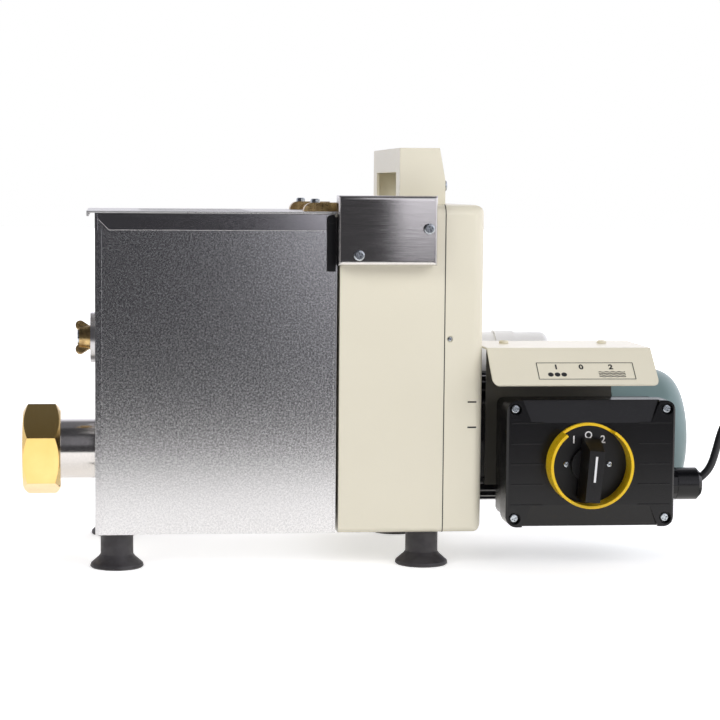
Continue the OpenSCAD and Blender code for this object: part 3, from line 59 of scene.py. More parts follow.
# fitted to the photograph: place, turns in radians, focal length in pixels, shift in widths
CAMERA_AT = (0.008 - MID_X, -1.600 - MID_Y, 0.2848)
CAMERA_YAW = 0.0887
CAMERA_PITCH = 0.0846
CAMERA_ROLL = 0.0060
FOCAL_PX = 2054.6
FRAME_PX = 720
SHIFT_X = 0.10
SENSOR_MM = 36


def make_camera():
    data = bpy.data.cameras.new("camera")
    data.sensor_width = SENSOR_MM
    data.lens = FOCAL_PX / FRAME_PX * data.sensor_width
    data.shift_x = SHIFT_X
    data.clip_start = 0.05
    data.clip_end = 50
    camera = bpy.data.objects.new("camera", data)
    scene.collection.objects.link(camera)
    turn = Matrix.Rotation(-CAMERA_YAW, 4, "Z") @ Matrix.Rotation(math.pi / 2 - CAMERA_PITCH, 4, "X")
    turn = turn @ Matrix.Rotation(CAMERA_ROLL, 4, "Z")
    camera.matrix_world = Matrix.Translation(CAMERA_AT) @ turn
    scene.camera = camera


make_camera()

# ---------------------------------------------------------------- materials


class Nodes:
    """Short calls for the nodes of a tree, whose places are read from one texture coordinate."""

    def __init__(self, tree, coordinate):
        self.tree = tree
        self.place = self.node("ShaderNodeTexCoord").outputs[coordinate]

    def node(self, kind, **settings):
        made = self.tree.nodes.new(kind)
        for name, value in settings.items():
            setattr(made, name, value)
        return made

    def link(self, source, target):
        self.tree.links.new(source, target)

    def math(self, operation, first, second=0.0):
        node = self.node("ShaderNodeMath", operation=operation)
        for socket, value in zip(node.inputs, (first, second)):
            if isinstance(value, (int, float)):
                socket.default_value = value
            else:
                self.link(value, socket)
        return node.outputs["Value"]

    def axis(self, name):
        split = self.node("ShaderNodeSeparateXYZ")
        self.link(self.place, split.inputs["Vector"])
        return split.outputs[name]

    def between(self, source, low, high, to_low=0.0, to_high=1.0):
        """to_low below low, to_high above high, and a smooth passage."""
        span = self.node("ShaderNodeMapRange", interpolation_type="SMOOTHSTEP")
        span.inputs["From Min"].default_value = low
        span.inputs["From Max"].default_value = high
        span.inputs["To Min"].default_value = to_low
        span.inputs["To Max"].default_value = to_high
        self.link(source, span.inputs["Value"])
        return span.outputs["Result"]

    def band(self, source, rise, fall):
        """1 from the end of rise to the start of fall."""
        return self.math("MULTIPLY", self.between(source, *rise), self.between(source, *fall, 1.0, 0.0))

    def mix_shaders(self, factor, first, second):
        mix = self.node("ShaderNodeMixShader")
        self.link(factor, mix.inputs["Fac"])
        self.link(first, mix.inputs[1])
        self.link(second, mix.inputs[2])
        return mix.outputs[0]

    def add_shaders(self, first, second):
        add = self.node("ShaderNodeAddShader")
        self.link(first, add.inputs[0])
        self.link(second, add.inputs[1])
        return add.outputs[0]


# the stretch of a noise's values over which its colours and roughness change
NOISE_SPAN = (0.3, 0.7)


class Shader(Nodes):
    """A material with a Principled shader."""

    def __init__(self, name, colour, roughness, metallic=0.0, **sockets):
        self.material = bpy.data.materials.new(name)
        self.material.use_nodes = True
        super().__init__(self.material.node_tree, "Object")
        self.bsdf = self.tree.nodes["Principled BSDF"]
        self.bsdf.inputs["Base Color"].default_value = (*colour, 1)
        self.bsdf.inputs["Metallic"].default_value = metallic
        self.bsdf.inputs["Roughness"].default_value = roughness
        for socket, value in sockets.items():
            self.bsdf.inputs[socket.replace("_", " ")].default_value = value
        self.normal = None

    def mapped(self, scale):
        mapping = self.node("ShaderNodeMapping")
        mapping.inputs["Scale"].default_value = scale
        self.link(self.place, mapping.inputs["Vector"])
        return mapping.outputs["Vector"]

    def noise(self, scale, stretch=(1, 1, 1), detail=2.0, roughness=0.5):
        noise = self.node("ShaderNodeTexNoise")
        noise.inputs["Scale"].default_value = scale
        noise.inputs["Detail"].default_value = detail
        noise.inputs["Roughness"].default_value = roughness
        self.link(self.mapped(stretch), noise.inputs["Vector"])
        return noise.outputs["Fac"]

    def ramp(self, source, *stops):
        ramp = self.node("ShaderNodeValToRGB")
        elements = ramp.color_ramp.elements
        while len(elements) < len(stops):
            elements.new(0.5)
        for element, (position, colour) in zip(elements, stops):
            element.position = position
            element.color = (*colour, 1)
        self.link(source, ramp.inputs["Fac"])
        return ramp.outputs["Color"]

    def spread(self, source, low, high):
        """From low to high with a noise."""
        spread = self.node("ShaderNodeMapRange")
        spread.inputs["From Min"].default_value = NOISE_SPAN[0]
        spread.inputs["From Max"].default_value = NOISE_SPAN[1]
        spread.inputs["To Min"].default_value = low
        spread.inputs["To Max"].default_value = high
        self.link(source, spread.inputs["Value"])
        return spread.outputs["Result"]

    def colour(self, source):
        self.link(source, self.bsdf.inputs["Base Color"])
        return self

    def clouds(self, source, low, high):
        """Colours the surface from low to high with a noise."""
        return self.colour(self.ramp(source, *zip(NOISE_SPAN, (low, high))))

    def rough(self, source, low, high):
        self.link(self.spread(source, low, high), self.bsdf.inputs["Roughness"])
        return self

    def bump(self, source, distance):
        bump = self.node("ShaderNodeBump")
        bump.inputs["Distance"].default_value = distance
        self.link(source, bump.inputs["Height"])
        if self.normal:
            self.link(self.normal, bump.inputs["Normal"])
        self.normal = bump.outputs["Normal"]
        self.link(self.normal, self.bsdf.inputs["Normal"])
        return self

    def crown(self, middle, radius):
        """Shades a sheet as a little crowned along X, about a place and with a radius."""
        across = self.math("SUBTRACT", self.axis("X"), middle)
        return self.bump(self.math("MULTIPLY", self.math("MULTIPLY", across, across), -0.5 / radius), 1.0)

    def soft_edges(self, radius=0.0005):
        """Rounds the sharp edges of the CAD meshes in the shading."""
        bevel = self.node("ShaderNodeBevel", samples=4)
        bevel.inputs["Radius"].default_value = radius
        self.normal = bevel.outputs["Normal"]
        self.link(self.normal, self.bsdf.inputs["Normal"])
        return self

    def mix(self, factor, first, second):
        mix = self.node("ShaderNodeMix", data_type="RGBA")
        self.link(factor, mix.inputs["Factor"])
        for socket, value in zip((mix.inputs[6], mix.inputs[7]), (first, second)):
            if isinstance(value, tuple):
                socket.default_value = (*value, 1)
            else:
                self.link(value, socket)
        return mix.outputs[2]


def satin_steel():
    """Shot-blasted stainless with a fine speckle; its folded top border is smooth and darker."""
    s = Shader("satin_steel", (0.62, 0.62, 0.63), metallic=1.0, roughness=0.36).soft_edges()
    s.crown(*FLANK_CROWN)
    across = s.math("ABSOLUTE", s.math("SUBTRACT", s.axis("Y"), -MID_Y))
    proud = s.between(across, FLANK_Y + 0.0001, FLANK_Y + 0.0004)
    smooth = s.math("MULTIPLY", proud, s.between(s.axis("Z"), FOLD_Z - 0.0004, FOLD_Z, 0.2, 1.0))
    grain = s.noise(760, detail=3, roughness=0.6)
    speckle = s.ramp(grain, (0.38, (0.55, 0.55, 0.56)), (0.62, (0.73, 0.73, 0.74)))
    fold_stops = zip(NOISE_SPAN, ((0.46, 0.45, 0.47), (0.54, 0.53, 0.55)))
    s.colour(s.mix(smooth, speckle, s.ramp(s.noise(14, detail=4), *fold_stops)))
    satin = s.spread(grain, 0.165, 0.27)
    s.link(s.math("SUBTRACT", satin, s.math("MULTIPLY", smooth, 0.07)), s.bsdf.inputs["Roughness"])
    relief = s.math("MULTIPLY", grain, s.math("SUBTRACT", 1.0, smooth))
    return s.bump(relief, 0.00002).material


def smooth_steel():
    """Rolled sheet, almost polished, with soft cloudy marks."""
    s = Shader("smooth_steel", (0.58, 0.57, 0.58), metallic=1.0, roughness=0.22).soft_edges()
    s.clouds(s.noise(40, detail=4), (0.54, 0.53, 0.54), (0.62, 0.61, 0.62))
    s.rough(s.noise(30, stretch=(0.4, 1, 2), detail=4), 0.18, 0.30)
    return s.bump(s.noise(1500, stretch=(0.06, 1, 1)), 0.00001).material


def sheet_steel():
    """Sheet with a dull skin, for the lid and the inside of the tub."""
    s = Shader("sheet_steel", (0.66, 0.655, 0.65), metallic=0.75, roughness=0.3).soft_edges(0.0008)
    s.clouds(s.noise(30, detail=4), (0.62, 0.615, 0.61), (0.70, 0.695, 0.69))
    s.rough(s.noise(24, stretch=(0.4, 1, 2), detail=5), 0.24, 0.36)
    return s.bump(s.noise(1500, stretch=(0.06, 1, 1)), 0.00001).material


def brushed_steel(name, stretch, crowned=False):
    """Stainless brushed along one axis, where stretch is small."""
    tint = (0.62, 0.60, 0.59)
    s = Shader(name, tint, metallic=1.0, roughness=0.2).soft_edges(0.0015)
    if crowned:
        s.crown(*HOOD_CROWN)
    lines = s.noise(2600, stretch=stretch, detail=3, roughness=0.7)
    dark = tuple(c * 0.86 for c in tint)
    light = tuple(c * 1.12 for c in tint)
    s.clouds(lines, dark, light)
    s.rough(lines, 0.10, 0.17)
    return s.bump(lines, 0.000007).material


def polished_brass():
    """Turned brass with faint cloudy marks."""
    s = Shader("polished_brass", (0.80, 0.56, 0.20), metallic=1.0, roughness=0.14).soft_edges(0.0008)
    s.clouds(s.noise(25, detail=5), (0.74, 0.50, 0.16), (0.86, 0.63, 0.26))
    s.rough(s.noise(90, stretch=(6, 1, 1), detail=4), 0.10, 0.2)
    return s.bump(s.noise(3000, stretch=(1, 0.05, 0.05)), 0.000008).material


def aged_brass():
    """Cast brass, browned and dull."""
    s = Shader("aged_brass", (0.62, 0.43, 0.17), metallic=1.0, roughness=0.3).soft_edges(0.0007)
    s.colour(s.ramp(s.noise(220, detail=5), (0.35, (0.33, 0.22, 0.10)), (0.65, (0.62, 0.45, 0.21))))
    s.rough(s.noise(300, detail=4), 0.22, 0.42)
    return s.bump(s.noise(900, detail=3), 0.00005).material


def cream_paint():
    """Powder coat with a light orange peel."""
    coat = {"Coat_Weight": 0.25, "Coat_Roughness": 0.2}
    s = Shader("cream_paint", (0.80, 0.755, 0.62), roughness=0.34, **coat).soft_edges(0.0008)
    s.clouds(s.noise(7, detail=3), (0.785, 0.740, 0.590), (0.815, 0.770, 0.620))
    s.rough(s.noise(260, detail=2), 0.30, 0.38)
    return s.bump(s.noise(420, detail=1), 0.00003).material


def black_plastic(name, roughness):
    """Moulded plastic with a fine grain."""
    level = 0.003
    s = Shader(name, (level, level, level * 1.25), roughness=roughness, Specular_IOR_Level=0.35).soft_edges()
    grain = s.noise(1400, detail=2)
    s.rough(grain, roughness - 0.05, roughness + 0.07)
    low, high = (tuple(level * k * tint for tint in (1, 1, 1.3)) for k in (0.85, 1.2))
    s.clouds(s.noise(60, detail=4), low, high)
    return s.bump(grain, 0.00002).material


def rubber():
    """Dull rubber with a dusty skin."""
    s = Shader("rubber", (0.03, 0.028, 0.03), roughness=0.55)
    s.rough(s.noise(200, detail=4), 0.45, 0.68)
    s.clouds(s.noise(90, detail=5), (0.022, 0.020, 0.022), (0.045, 0.042, 0.045))
    return s.bump(s.noise(700, detail=3), 0.00005).material


CORD_BLACK = (0.015, 0.015, 0.017)


def cord_sheath():
    """The cord's soft black plastic."""
    s = Shader("cord_sheath", CORD_BLACK, roughness=0.42)
    s.rough(s.noise(300, detail=3), 0.36, 0.5)
    return s.bump(s.noise(900, detail=2), 0.00003).material


# the plug's pins begin here, and end further to the left
PIN_X = 0.314
PIN_METAL = (0.72, 0.68, 0.55)


def plug_rubber():
    """Moulded black rubber, with plated pins."""
    s = Shader("plug_rubber", CORD_BLACK, roughness=0.42).soft_edges(0.001)
    pins = s.between(s.axis("X"), PIN_X - 0.0002, PIN_X, 1.0, 0.0)
    s.colour(s.mix(pins, CORD_BLACK, PIN_METAL))
    s.link(pins, s.bsdf.inputs["Metallic"])
    sheen = s.spread(s.noise(300, detail=3), 0.36, 0.5)
    s.link(s.math("SUBTRACT", sheen, s.math("MULTIPLY", pins, 0.22)), s.bsdf.inputs["Roughness"])
    return s.bump(s.noise(900, detail=2), 0.00003).material


def zinc_plate():
    """Blue-grey plating of screws, shafts and gears."""
    tint = (0.52, 0.56, 0.60)
    s = Shader("zinc_plate", tint, metallic=1.0, roughness=0.24)
    dark = tuple(c * 0.82 for c in tint)
    s.clouds(s.noise(500, detail=4), dark, tint)
    s.rough(s.noise(700, detail=3), 0.18, 0.34)
    return s.bump(s.noise(1800, detail=2), 0.00002).material


def motor_paint():
    """Glossy black enamel over a cast skin."""
    s = Shader("motor_paint", (0.03, 0.03, 0.035), roughness=0.2)
    s.rough(s.noise(300, detail=4), 0.12, 0.22)
    s.clouds(s.noise(150, detail=5), (0.028, 0.028, 0.032), (0.048, 0.048, 0.056))
    return s.bump(s.noise(600, detail=4), 0.00006).material


def cowl_paint():
    """The motor cowl's grey-green enamel."""
    s = Shader("cowl_paint", (0.22, 0.31, 0.31), roughness=0.35)
    s.rough(s.noise(260, detail=3), 0.3, 0.42)
    s.clouds(s.noise(12, detail=4), (0.205, 0.295, 0.295), (0.235, 0.325, 0.322))
    return s.bump(s.noise(420, detail=2), 0.00004).material


def yellow_plastic():
    """The collar's plastic, which lets a little light in."""
    scatter = {"Subsurface_Weight": 0.12, "Subsurface_Radius": (0.004, 0.002, 0.0006)}
    s = Shader("yellow_plastic", (0.86, 0.56, 0.008), roughness=0.3, **scatter)
    s.clouds(s.noise(40, detail=3), (0.84, 0.535, 0.006), (0.88, 0.585, 0.012))
    s.rough(s.noise(500, detail=2), 0.26, 0.36)
    return s.bump(s.noise(900, detail=2), 0.00002).material


def plain(name, colour, roughness, metallic=0.0):
    """One colour with slight clouds, for small or hidden pieces."""
    s = Shader(name, colour, metallic=metallic, roughness=roughness)
    s.rough(s.noise(400, detail=3), roughness - 0.06, roughness + 0.08)
    low = tuple(c * 0.96 for c in colour)
    s.clouds(s.noise(120, detail=4), low, colour)
    return s.bump(s.noise(900, detail=2), 0.00003).material


MATERIALS = {
    "satin": satin_steel(),
    "smooth": smooth_steel(),
    "sheet": sheet_steel(),
    "brushed_x": brushed_steel("brushed_x", (0.02, 1, 1), crowned=True),
    "brushed_z": brushed_steel("brushed_z", (1, 1, 0.02)),
    "brass": polished_brass(),
    "aged": aged_brass(),
    "cream": cream_paint(),
    "box": black_plastic("box_plastic", 0.21),
    "knob": black_plastic("knob_plastic", 0.36),
    "rubber": rubber(),
    "cord": cord_sheath(),
    "zinc": zinc_plate(),
    "motor": motor_paint(),
    "cowl": cowl_paint(),
    "yellow": yellow_plastic(),
    "white_print": plain("white_print", (0.8, 0.8, 0.8), 0.5),
    # black for print, the cord's tie and the case's seam bead, and painted shade in the rear cover's slots
    # and the dial screws' slots
    "black_print_and_shade": plain("black_print_and_shade", (0.02, 0.02, 0.02), 0.5),
    "can": plain("can", (0.93, 0.93, 0.92), 0.35),
    # the splash bracket's dark grey-brown is painted shade: the strip under the flap, which lies in shadow
    "bracket": plain("bracket_painted_shade", (0.085, 0.08, 0.065), 0.4),
    "plug": plug_rubber(),
    "iron": plain("stator_iron", (0.3, 0.28, 0.27), 0.45, 0.8),
    "red": plain("red_plastic", (0.5, 0.03, 0.03), 0.4),
}

NODE_MATERIALS = {
    "satin": ["near_flank", "far_flank", "front_plate", "tub_rear_plate", "base_sheet"],
    "smooth": ["kneader_flange"],
    "sheet": ["basin", "lid", "kneader"],
    "brushed_x": ["hinge_cover"],
    "brushed_z": ["barrel"],
    "brass": ["ring_nut", "die", "drive_bearings"],
    "aged": ["wing_nut", "hinge_arms"],
    "cream": ["gear_case", "rear_cover", "carry_handle", "splash_cover", "splash_screws"],
    "box": ["switch_base", "switch_lid", "switch_block", "cable_gland", "interlock_switch", "interlock_cam"],
    "knob": ["dial", "switch_knob", "hinge_bushes", "rim_plugs", "cooling_fan"],
    "rubber": ["suction_feet"],
    "cord": ["cord_lead", "cord_coil", "cord_tail"],
    "plug": ["plug"],
    "zinc": [
        "auger",
        "auger_gear",
        "kneader_gear",
        "counter_gear",
        "kneader_pin",
        "bearing_plate",
        "handle_screws",
        "foot_bolts",
        "lid_screws",
        "hinge_pin",
        "hinge_cover_screws",
        "motor_pinion",
        "rotor",
        "switch_lid_screws",
    ],
    "motor": ["motor_flange", "motor_body"],
    "bracket": ["splash_bracket"],
    "cowl": ["fan_cowl"],
    "yellow": ["dial_collar"],
    # the capacitor is white; its clamp takes the same white as a painted highlight on the zinc
    "can": ["capacitor", "capacitor_clamp"],
    "iron": ["stator"],
    "red": ["interlock_plunger"],
}


def dress_nodes():
    for key, nodes in NODE_MATERIALS.items():
        for name in nodes:
            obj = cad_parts[name]
            obj.data.materials.clear()
            obj.data.materials.append(MATERIALS[key])


dress_nodes()

# ---------------------------------------------------------------- mesh helpers

# how far prints stand out of what they are on
PRINT_T = 0.0001
# the height of the font's figures, as a share of its size
FONT_FIGURE = 0.7


def facing(origin, right, up):
    """A frame just over a face at origin: X is right, Y is up and Z stands out of the face."""
    right, up = Vector(right).normalized(), Vector(up).normalized()
    turn = Matrix((right, up, right.cross(up))).transposed().to_4x4()
    return Matrix.Translation(origin) @ turn @ Matrix.Translation((0, 0, PRINT_T))


def piece(name, bm, material, body):
    """A mesh object that rides on a body and takes its finish from a slot of the record."""
    mesh = bpy.data.meshes.new(name)
    bm.normal_update()
    bm.to_mesh(mesh)
    bm.free()
    made = bpy.data.objects.new(name, mesh)
    scene.collection.objects.link(made)
    mesh.materials.append(MATERIALS[material])
    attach(made, body)
    return made


def add_flat(bm, outline, matrix):
    """One flat face in the plane of matrix."""
    bm.faces.new([bm.verts.new(matrix @ Vector((x, y, 0))) for x, y in outline])


def add_stroke(bm, points, width, matrix, closed=False):
    """A flat line of one width along points in the plane of matrix, mitred at its turns."""
    count = len(points)
    points = [Vector(point) for point in points]
    sides = []
    for i, point in enumerate(points):
        before = points[i - 1] if closed or i else point - (points[1] - point)
        after = points[(i + 1) % count] if closed or i < count - 1 else point + (point - before)
        first, second = (point - before).normalized(), (after - point).normalized()
        along = (first + second).normalized()
        side = Vector((-along.y, along.x)) * width / 2 / along.dot(first)
        sides.append([bm.verts.new(matrix @ (point + s * side).to_3d()) for s in (-1, 1)])
    for i in range(count if closed else count - 1):
        (a, b), (c, d) = sides[i], sides[(i + 1) % count]
        bm.faces.new((a, c, d, b))


def circle(radius, steps=32, centre=(0, 0)):
    turns = (2 * math.pi * i / steps for i in range(steps))
    return [(centre[0] + radius * math.cos(a), centre[1] + radius * math.sin(a)) for a in turns]


def add_text(bm, text, height, at, matrix, weight=0.02):
    """Figures of the given height, centred at a point in the plane of matrix."""
    curve = bpy.data.curves.new("figures", "FONT")
    curve.body = text
    curve.size = height / FONT_FIGURE
    curve.align_x, curve.align_y = "CENTER", "CENTER"
    curve.offset = height * weight
    holder = bpy.data.objects.new("figures", curve)
    mesh = bpy.data.meshes.new_from_object(holder)
    mesh.transform(matrix @ Matrix.Translation((*at, 0)))
    bm.from_mesh(mesh)
    bpy.data.objects.remove(holder)
    bpy.data.curves.remove(curve)
    bpy.data.meshes.remove(mesh)


def add_pan_head(bm, matrix, radius, height):
    """A screw's rounded head on the plane of matrix."""
    profile = [(radius, 0), (radius, height * 0.45), (radius * 0.86, height * 0.82), (radius * 0.5, height)]
    rings = [[bm.verts.new(matrix @ Vector((x, y, z))) for x, y in circle(r, 24)] for r, z in profile]
    for low, high in zip(rings, rings[1:]):
        for i in range(len(low)):
            j = (i + 1) % len(low)
            bm.faces.new((low[i], low[j], high[j], high[i]))
    bm.faces.new(rings[-1])


# ---------------------------------------------------------------- cord

CORD_D = 0.006
# the route from the gland's mouth to the coil, and from the coil to the plug, as in part.scad
LEAD = [
    (0.254, -0.053, 0.0632), (0.259, -0.053, 0.067), (0.2628, -0.053, 0.072), (0.2652, -0.053, 0.0778),
    (0.2673, -0.053, 0.0855), (0.2693, -0.053, 0.0933), (0.2713, -0.053, 0.1005), (0.2744, -0.053, 0.1075),
    (0.2803, -0.053, 0.1143), (0.2886, -0.053, 0.119), (0.298, -0.053, 0.1207), (0.3075, -0.053, 0.119),
    (0.316, -0.053, 0.1143), (0.3222, -0.053, 0.107), (0.3253, -0.053, 0.0995), (0.326, -0.053, 0.091),
    (0.326, -0.053, 0.078), (0.326, -0.0525, 0.064), (0.326, -0.0515, 0.053), (0.326, -0.049, 0.042),
    (0.326, -0.0445, 0.0315), (0.326, -0.0375, 0.022), (0.326, -0.028, 0.0135), (0.326, -0.017, 0.0075),
    (0.326, -0.005, 0.004), (0.326, 0.006, 0.003),
]
TAIL = [
    (0.4207, 0.024, 0.009), (0.4218, 0.013, 0.008), (0.4227, 0.002, 0.0065), (0.423, -0.010, 0.0045),
    (0.423, -0.022, 0.0032), (0.423, -0.034, 0.003), (0.423, -0.046, 0.003), (0.423, -0.058, 0.003),
    (0.421, -0.070, 0.003), (0.415, -0.081, 0.003), (0.406, -0.0895, 0.003), (0.395, -0.094, 0.004),
    (0.383, -0.095, 0.007), (0.372, -0.095, 0.012), (0.362, -0.095, 0.0165), (0.353, -0.095, 0.018),
]
# the coil: its middle, its turns, where the lead meets it, and the radii and heights of its layers
COIL_AT = (0.371, 0.030)
COIL_TURNS = 6.596
COIL_START = math.radians(-151.9)
COIL_STEPS = 24
TURN_IN = 0.027
TURN_OUT = 0.045
LEAD_R = 0.051
TAIL_R = 0.0501
LOW_Z = 0.003
HIGH_Z = 0.009
# the cord climbs to the upper layer over this share of a turn, each way from the middle
CLIMB = 0.2


def ease(low, high, value):
    """0 below low, 1 above high, and a smooth passage."""
    t = min(1, max(0, (value - low) / (high - low)))
    return t * t * (3 - 2 * t)


def coil_point(turned):
    """In on the table, up a layer at the smallest turn and out again on top."""
    run = (TURN_OUT - TURN_IN) / CORD_D
    middle = COIL_TURNS / 2
    if turned < middle:
        radius = TURN_OUT - CORD_D * min(run, max(0, turned - (middle - run)))
        radius += (LEAD_R - TURN_OUT) * (1 - ease(0, middle - run, turned))
    else:
        radius = TURN_IN + CORD_D * min(run, turned - middle)
        radius += (TAIL_R - TURN_OUT) * ease(middle + run, COIL_TURNS, turned)
    z = LOW_Z + (HIGH_Z - LOW_Z) * ease(middle - CLIMB, middle + CLIMB, turned)
    angle = COIL_START - 2 * math.pi * turned
    return (COIL_AT[0] + radius * math.cos(angle), COIL_AT[1] + radius * math.sin(angle), z)


def cord_route():
    """The points of the cord's middle line, from the gland's mouth to the plug."""
    steps = round(COIL_TURNS * COIL_STEPS)
    coil = [coil_point(COIL_TURNS * i / steps) for i in range(1, steps)]
    return LEAD + coil + TAIL


# the tie round the coil: where it sits, its width and thickness, and the radius of its corners
TIE_AT = math.radians(75)
TIE_W = 0.005
TIE_T = 0.0008
TIE_CORNER = 0.003
TIE_STEPS = 4


def make_cord_tie():
    """The strap round the coil's turns."""
    out = Vector((math.cos(TIE_AT), math.sin(TIE_AT), 0))
    side = Vector((-out.y, out.x, 0)) * TIE_W / 2
    r0, r1 = TURN_IN - CORD_D / 2 - TIE_T, TURN_OUT + CORD_D / 2 + TIE_T
    z0, z1 = PRINT_T, HIGH_Z + CORD_D / 2 + TIE_T
    middle = Vector(((r0 + r1) / 2, (z0 + z1) / 2))
    path = []
    for turn, (r, z) in enumerate(((r1, z1), (r0, z1), (r0, z0), (r1, z0))):
        centre_r = r - math.copysign(TIE_CORNER, r - middle.x)
        centre_z = z - math.copysign(TIE_CORNER, z - middle.y)
        for step in range(TIE_STEPS + 1):
            a = math.pi / 2 * (turn + step / TIE_STEPS)
            path.append(Vector((centre_r + TIE_CORNER * math.cos(a), centre_z + TIE_CORNER * math.sin(a))))
    bm = bmesh.new()
    rows = []
    for outer in path:
        inner = outer + (middle - outer).normalized() * TIE_T
        row = []
        for (r, z), s in ((outer, -1), (outer, 1), (inner, 1), (inner, -1)):
            row.append(bm.verts.new(Vector((*COIL_AT, 0)) + out * r + side * s + Vector((0, 0, z))))
        rows.append(row)
    for low, high in zip(rows, rows[1:] + rows[:1]):
        for i in range(4):
            j = (i + 1) % 4
            bm.faces.new((low[i], high[i], high[j], low[j]))
    bmesh.ops.recalc_face_normals(bm, faces=bm.faces)
    return piece("cord_tie", bm, "black_print_and_shade", "machine")


def make_cord():
    """One smooth tube in place of the CAD's lead, coil and tail."""
    route = cord_route()
    curve = bpy.data.curves.new("mains_cord", "CURVE")
    curve.dimensions = "3D"
    curve.bevel_depth = CORD_D / 2
    curve.bevel_resolution = 4
    spline = curve.splines.new("NURBS")
    spline.points.add(len(route) - 1)
    for point, at in zip(spline.points, route):
        point.co = (*at, 1)
    spline.order_u = 4
    spline.use_endpoint_u = True
    spline.resolution_u = 4
    cord = bpy.data.objects.new("mains_cord", curve)
    scene.collection.objects.link(cord)
    curve.materials.append(MATERIALS["cord"])
    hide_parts("cord_lead", "cord_coil", "cord_tail")
    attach(cord, "machine")
    make_cord_tie()


make_cord()

# ---------------------------------------------------------------- small pieces

# the dial: its middle in the part's frame, and its face
DIAL_AT = (0.1585, -0.092, 0.0805)
DIAL = facing(DIAL_AT, (1, 0, 0), (0, 0, 1))
FIGURE_H = 0.0056
DIAL_FIGURES = (("1", (-0.0108, 0.0181)), ("2", (0.0111, 0.0183)))
OFF_AT = (0.0002, 0.0219)
OFF_R = FIGURE_H * 0.41
OFF_LINE = FIGURE_H * 0.16
DIAL_SCREW_X = 0.0162
DIAL_SCREW_R = 0.0022
DIAL_SCREW_H = 0.0011
DIAL_SCREW_TURN = 0.5


def make_dial_print():
    """The switch's positions: 1, a ring for off, and 2."""
    bm = bmesh.new()
    for text, at in DIAL_FIGURES:
        add_text(bm, text, FIGURE_H, at, DIAL)
    add_stroke(bm, circle(OFF_R, centre=OFF_AT), OFF_LINE, DIAL, closed=True)
    piece("dial_print", bm, "white_print", "machine")


def make_dial_screws():
    """Two small slotted screws, one on each side of the knob."""
    heads, slots = bmesh.new(), bmesh.new()
    for side in (-1, 1):
        seat = DIAL @ Matrix.Translation((side * DIAL_SCREW_X, 0, 0))
        seat = seat @ Matrix.Rotation(DIAL_SCREW_TURN, 4, "Z")
        add_pan_head(heads, seat, DIAL_SCREW_R, DIAL_SCREW_H)
        top = seat @ Matrix.Translation((0, 0, DIAL_SCREW_H + PRINT_T))
        # the slot is a black stroke on the flat of the head: painted shade of the groove
        reach = DIAL_SCREW_R * 0.5
        add_stroke(slots, [(-reach, 0), (reach, 0)], DIAL_SCREW_R * 0.28, top)
    piece("dial_screws", heads, "zinc", "machine")
    piece("dial_screw_slots", slots, "black_print_and_shade", "machine")


# the knob is turned a little to the right, and its front face is this far from the dial's face
KNOB_TILT = math.radians(-4.5)
KNOB_FRONT = 0.026
KNOB_LINE = (-0.010, 0.009)
KNOB_LINE_W = 0.0016


def make_knob_line():
    """The index line along the knob's grip."""
    bm = bmesh.new()
    front = DIAL @ Matrix.Rotation(KNOB_TILT, 4, "Z") @ Matrix.Translation((0, 0, KNOB_FRONT))
    add_stroke(bm, [(0, y) for y in KNOB_LINE], KNOB_LINE_W, front)
    piece("knob_line", bm, "white_print", "knob")


# the label on the splash cover's flap, measured down the slope from its bend
FLAP_DOWN = Vector((0, -0.029, -0.025)).normalized()
FLAP_BEND = (0, -0.072, 0.1655)
FLAP = facing(FLAP_BEND, (1, 0, 0), -FLAP_DOWN)
LABEL_X = (0.1202, 0.1925)
LABEL_DOWN = (0.0158, 0.0325)
LABEL_LINE = 0.0006
LABEL_FIGURES = (("1", 0.1344), ("0", 0.1532), ("2", 0.1755))
LABEL_FIGURE_H = 0.0046
LABEL_ROW = 0.0203
# the three pieces of dough: their radius, the first one's place and their spacing
DOUGH_R = 0.0021
DOUGH_AT = (0.1294, -0.0278)
DOUGH_STEP = 0.005
# the four strands: where the first begins, their spacing, the points of one and their spacing,
# and the waves' height, turn per point and line
STRAND_AT = (0.1655, -0.0252)
STRAND_GAP = 0.0016
STRAND_POINTS = 21
STRAND_STEP = 0.001
STRAND_WAVE = 0.0003
STRAND_TURN = 1.3
STRAND_LINE = 0.0007


def make_label():
    """A thin frame with the switch's positions: dough at 1, strands at 2."""
    bm = bmesh.new()
    (x0, x1), (d0, d1) = LABEL_X, LABEL_DOWN
    add_stroke(bm, [(x0, -d1), (x1, -d1), (x1, -d0), (x0, -d0)], LABEL_LINE, FLAP, closed=True)
    for text, x in LABEL_FIGURES:
        add_text(bm, text, LABEL_FIGURE_H, (x, -LABEL_ROW), FLAP, weight=0.06)
    for i in range(3):
        add_flat(bm, circle(DOUGH_R, 24, (DOUGH_AT[0] + DOUGH_STEP * i, DOUGH_AT[1])), FLAP)
    for row in range(4):
        x, y = STRAND_AT[0], STRAND_AT[1] - STRAND_GAP * row
        swing = [STRAND_WAVE * math.sin(i * STRAND_TURN) for i in range(STRAND_POINTS)]
        strand = [(x + STRAND_STEP * i, y + up) for i, up in enumerate(swing)]
        add_stroke(bm, strand, STRAND_LINE, FLAP)
    piece("flap_label", bm, "black_print_and_shade", "machine")


# the joint of the gear case and the rear cover, and the case's outline across the machine
SEAM_X = 0.0535
SEAM_W = 0.0007
CASE_Y = (-0.072, 0.118)
CASE_Z = (0.027, 0.2715)
CASE_ROUND_TOP = 0.008
CASE_ROUND_LOW = 0.004
CASE_ROUND_STEPS = 8


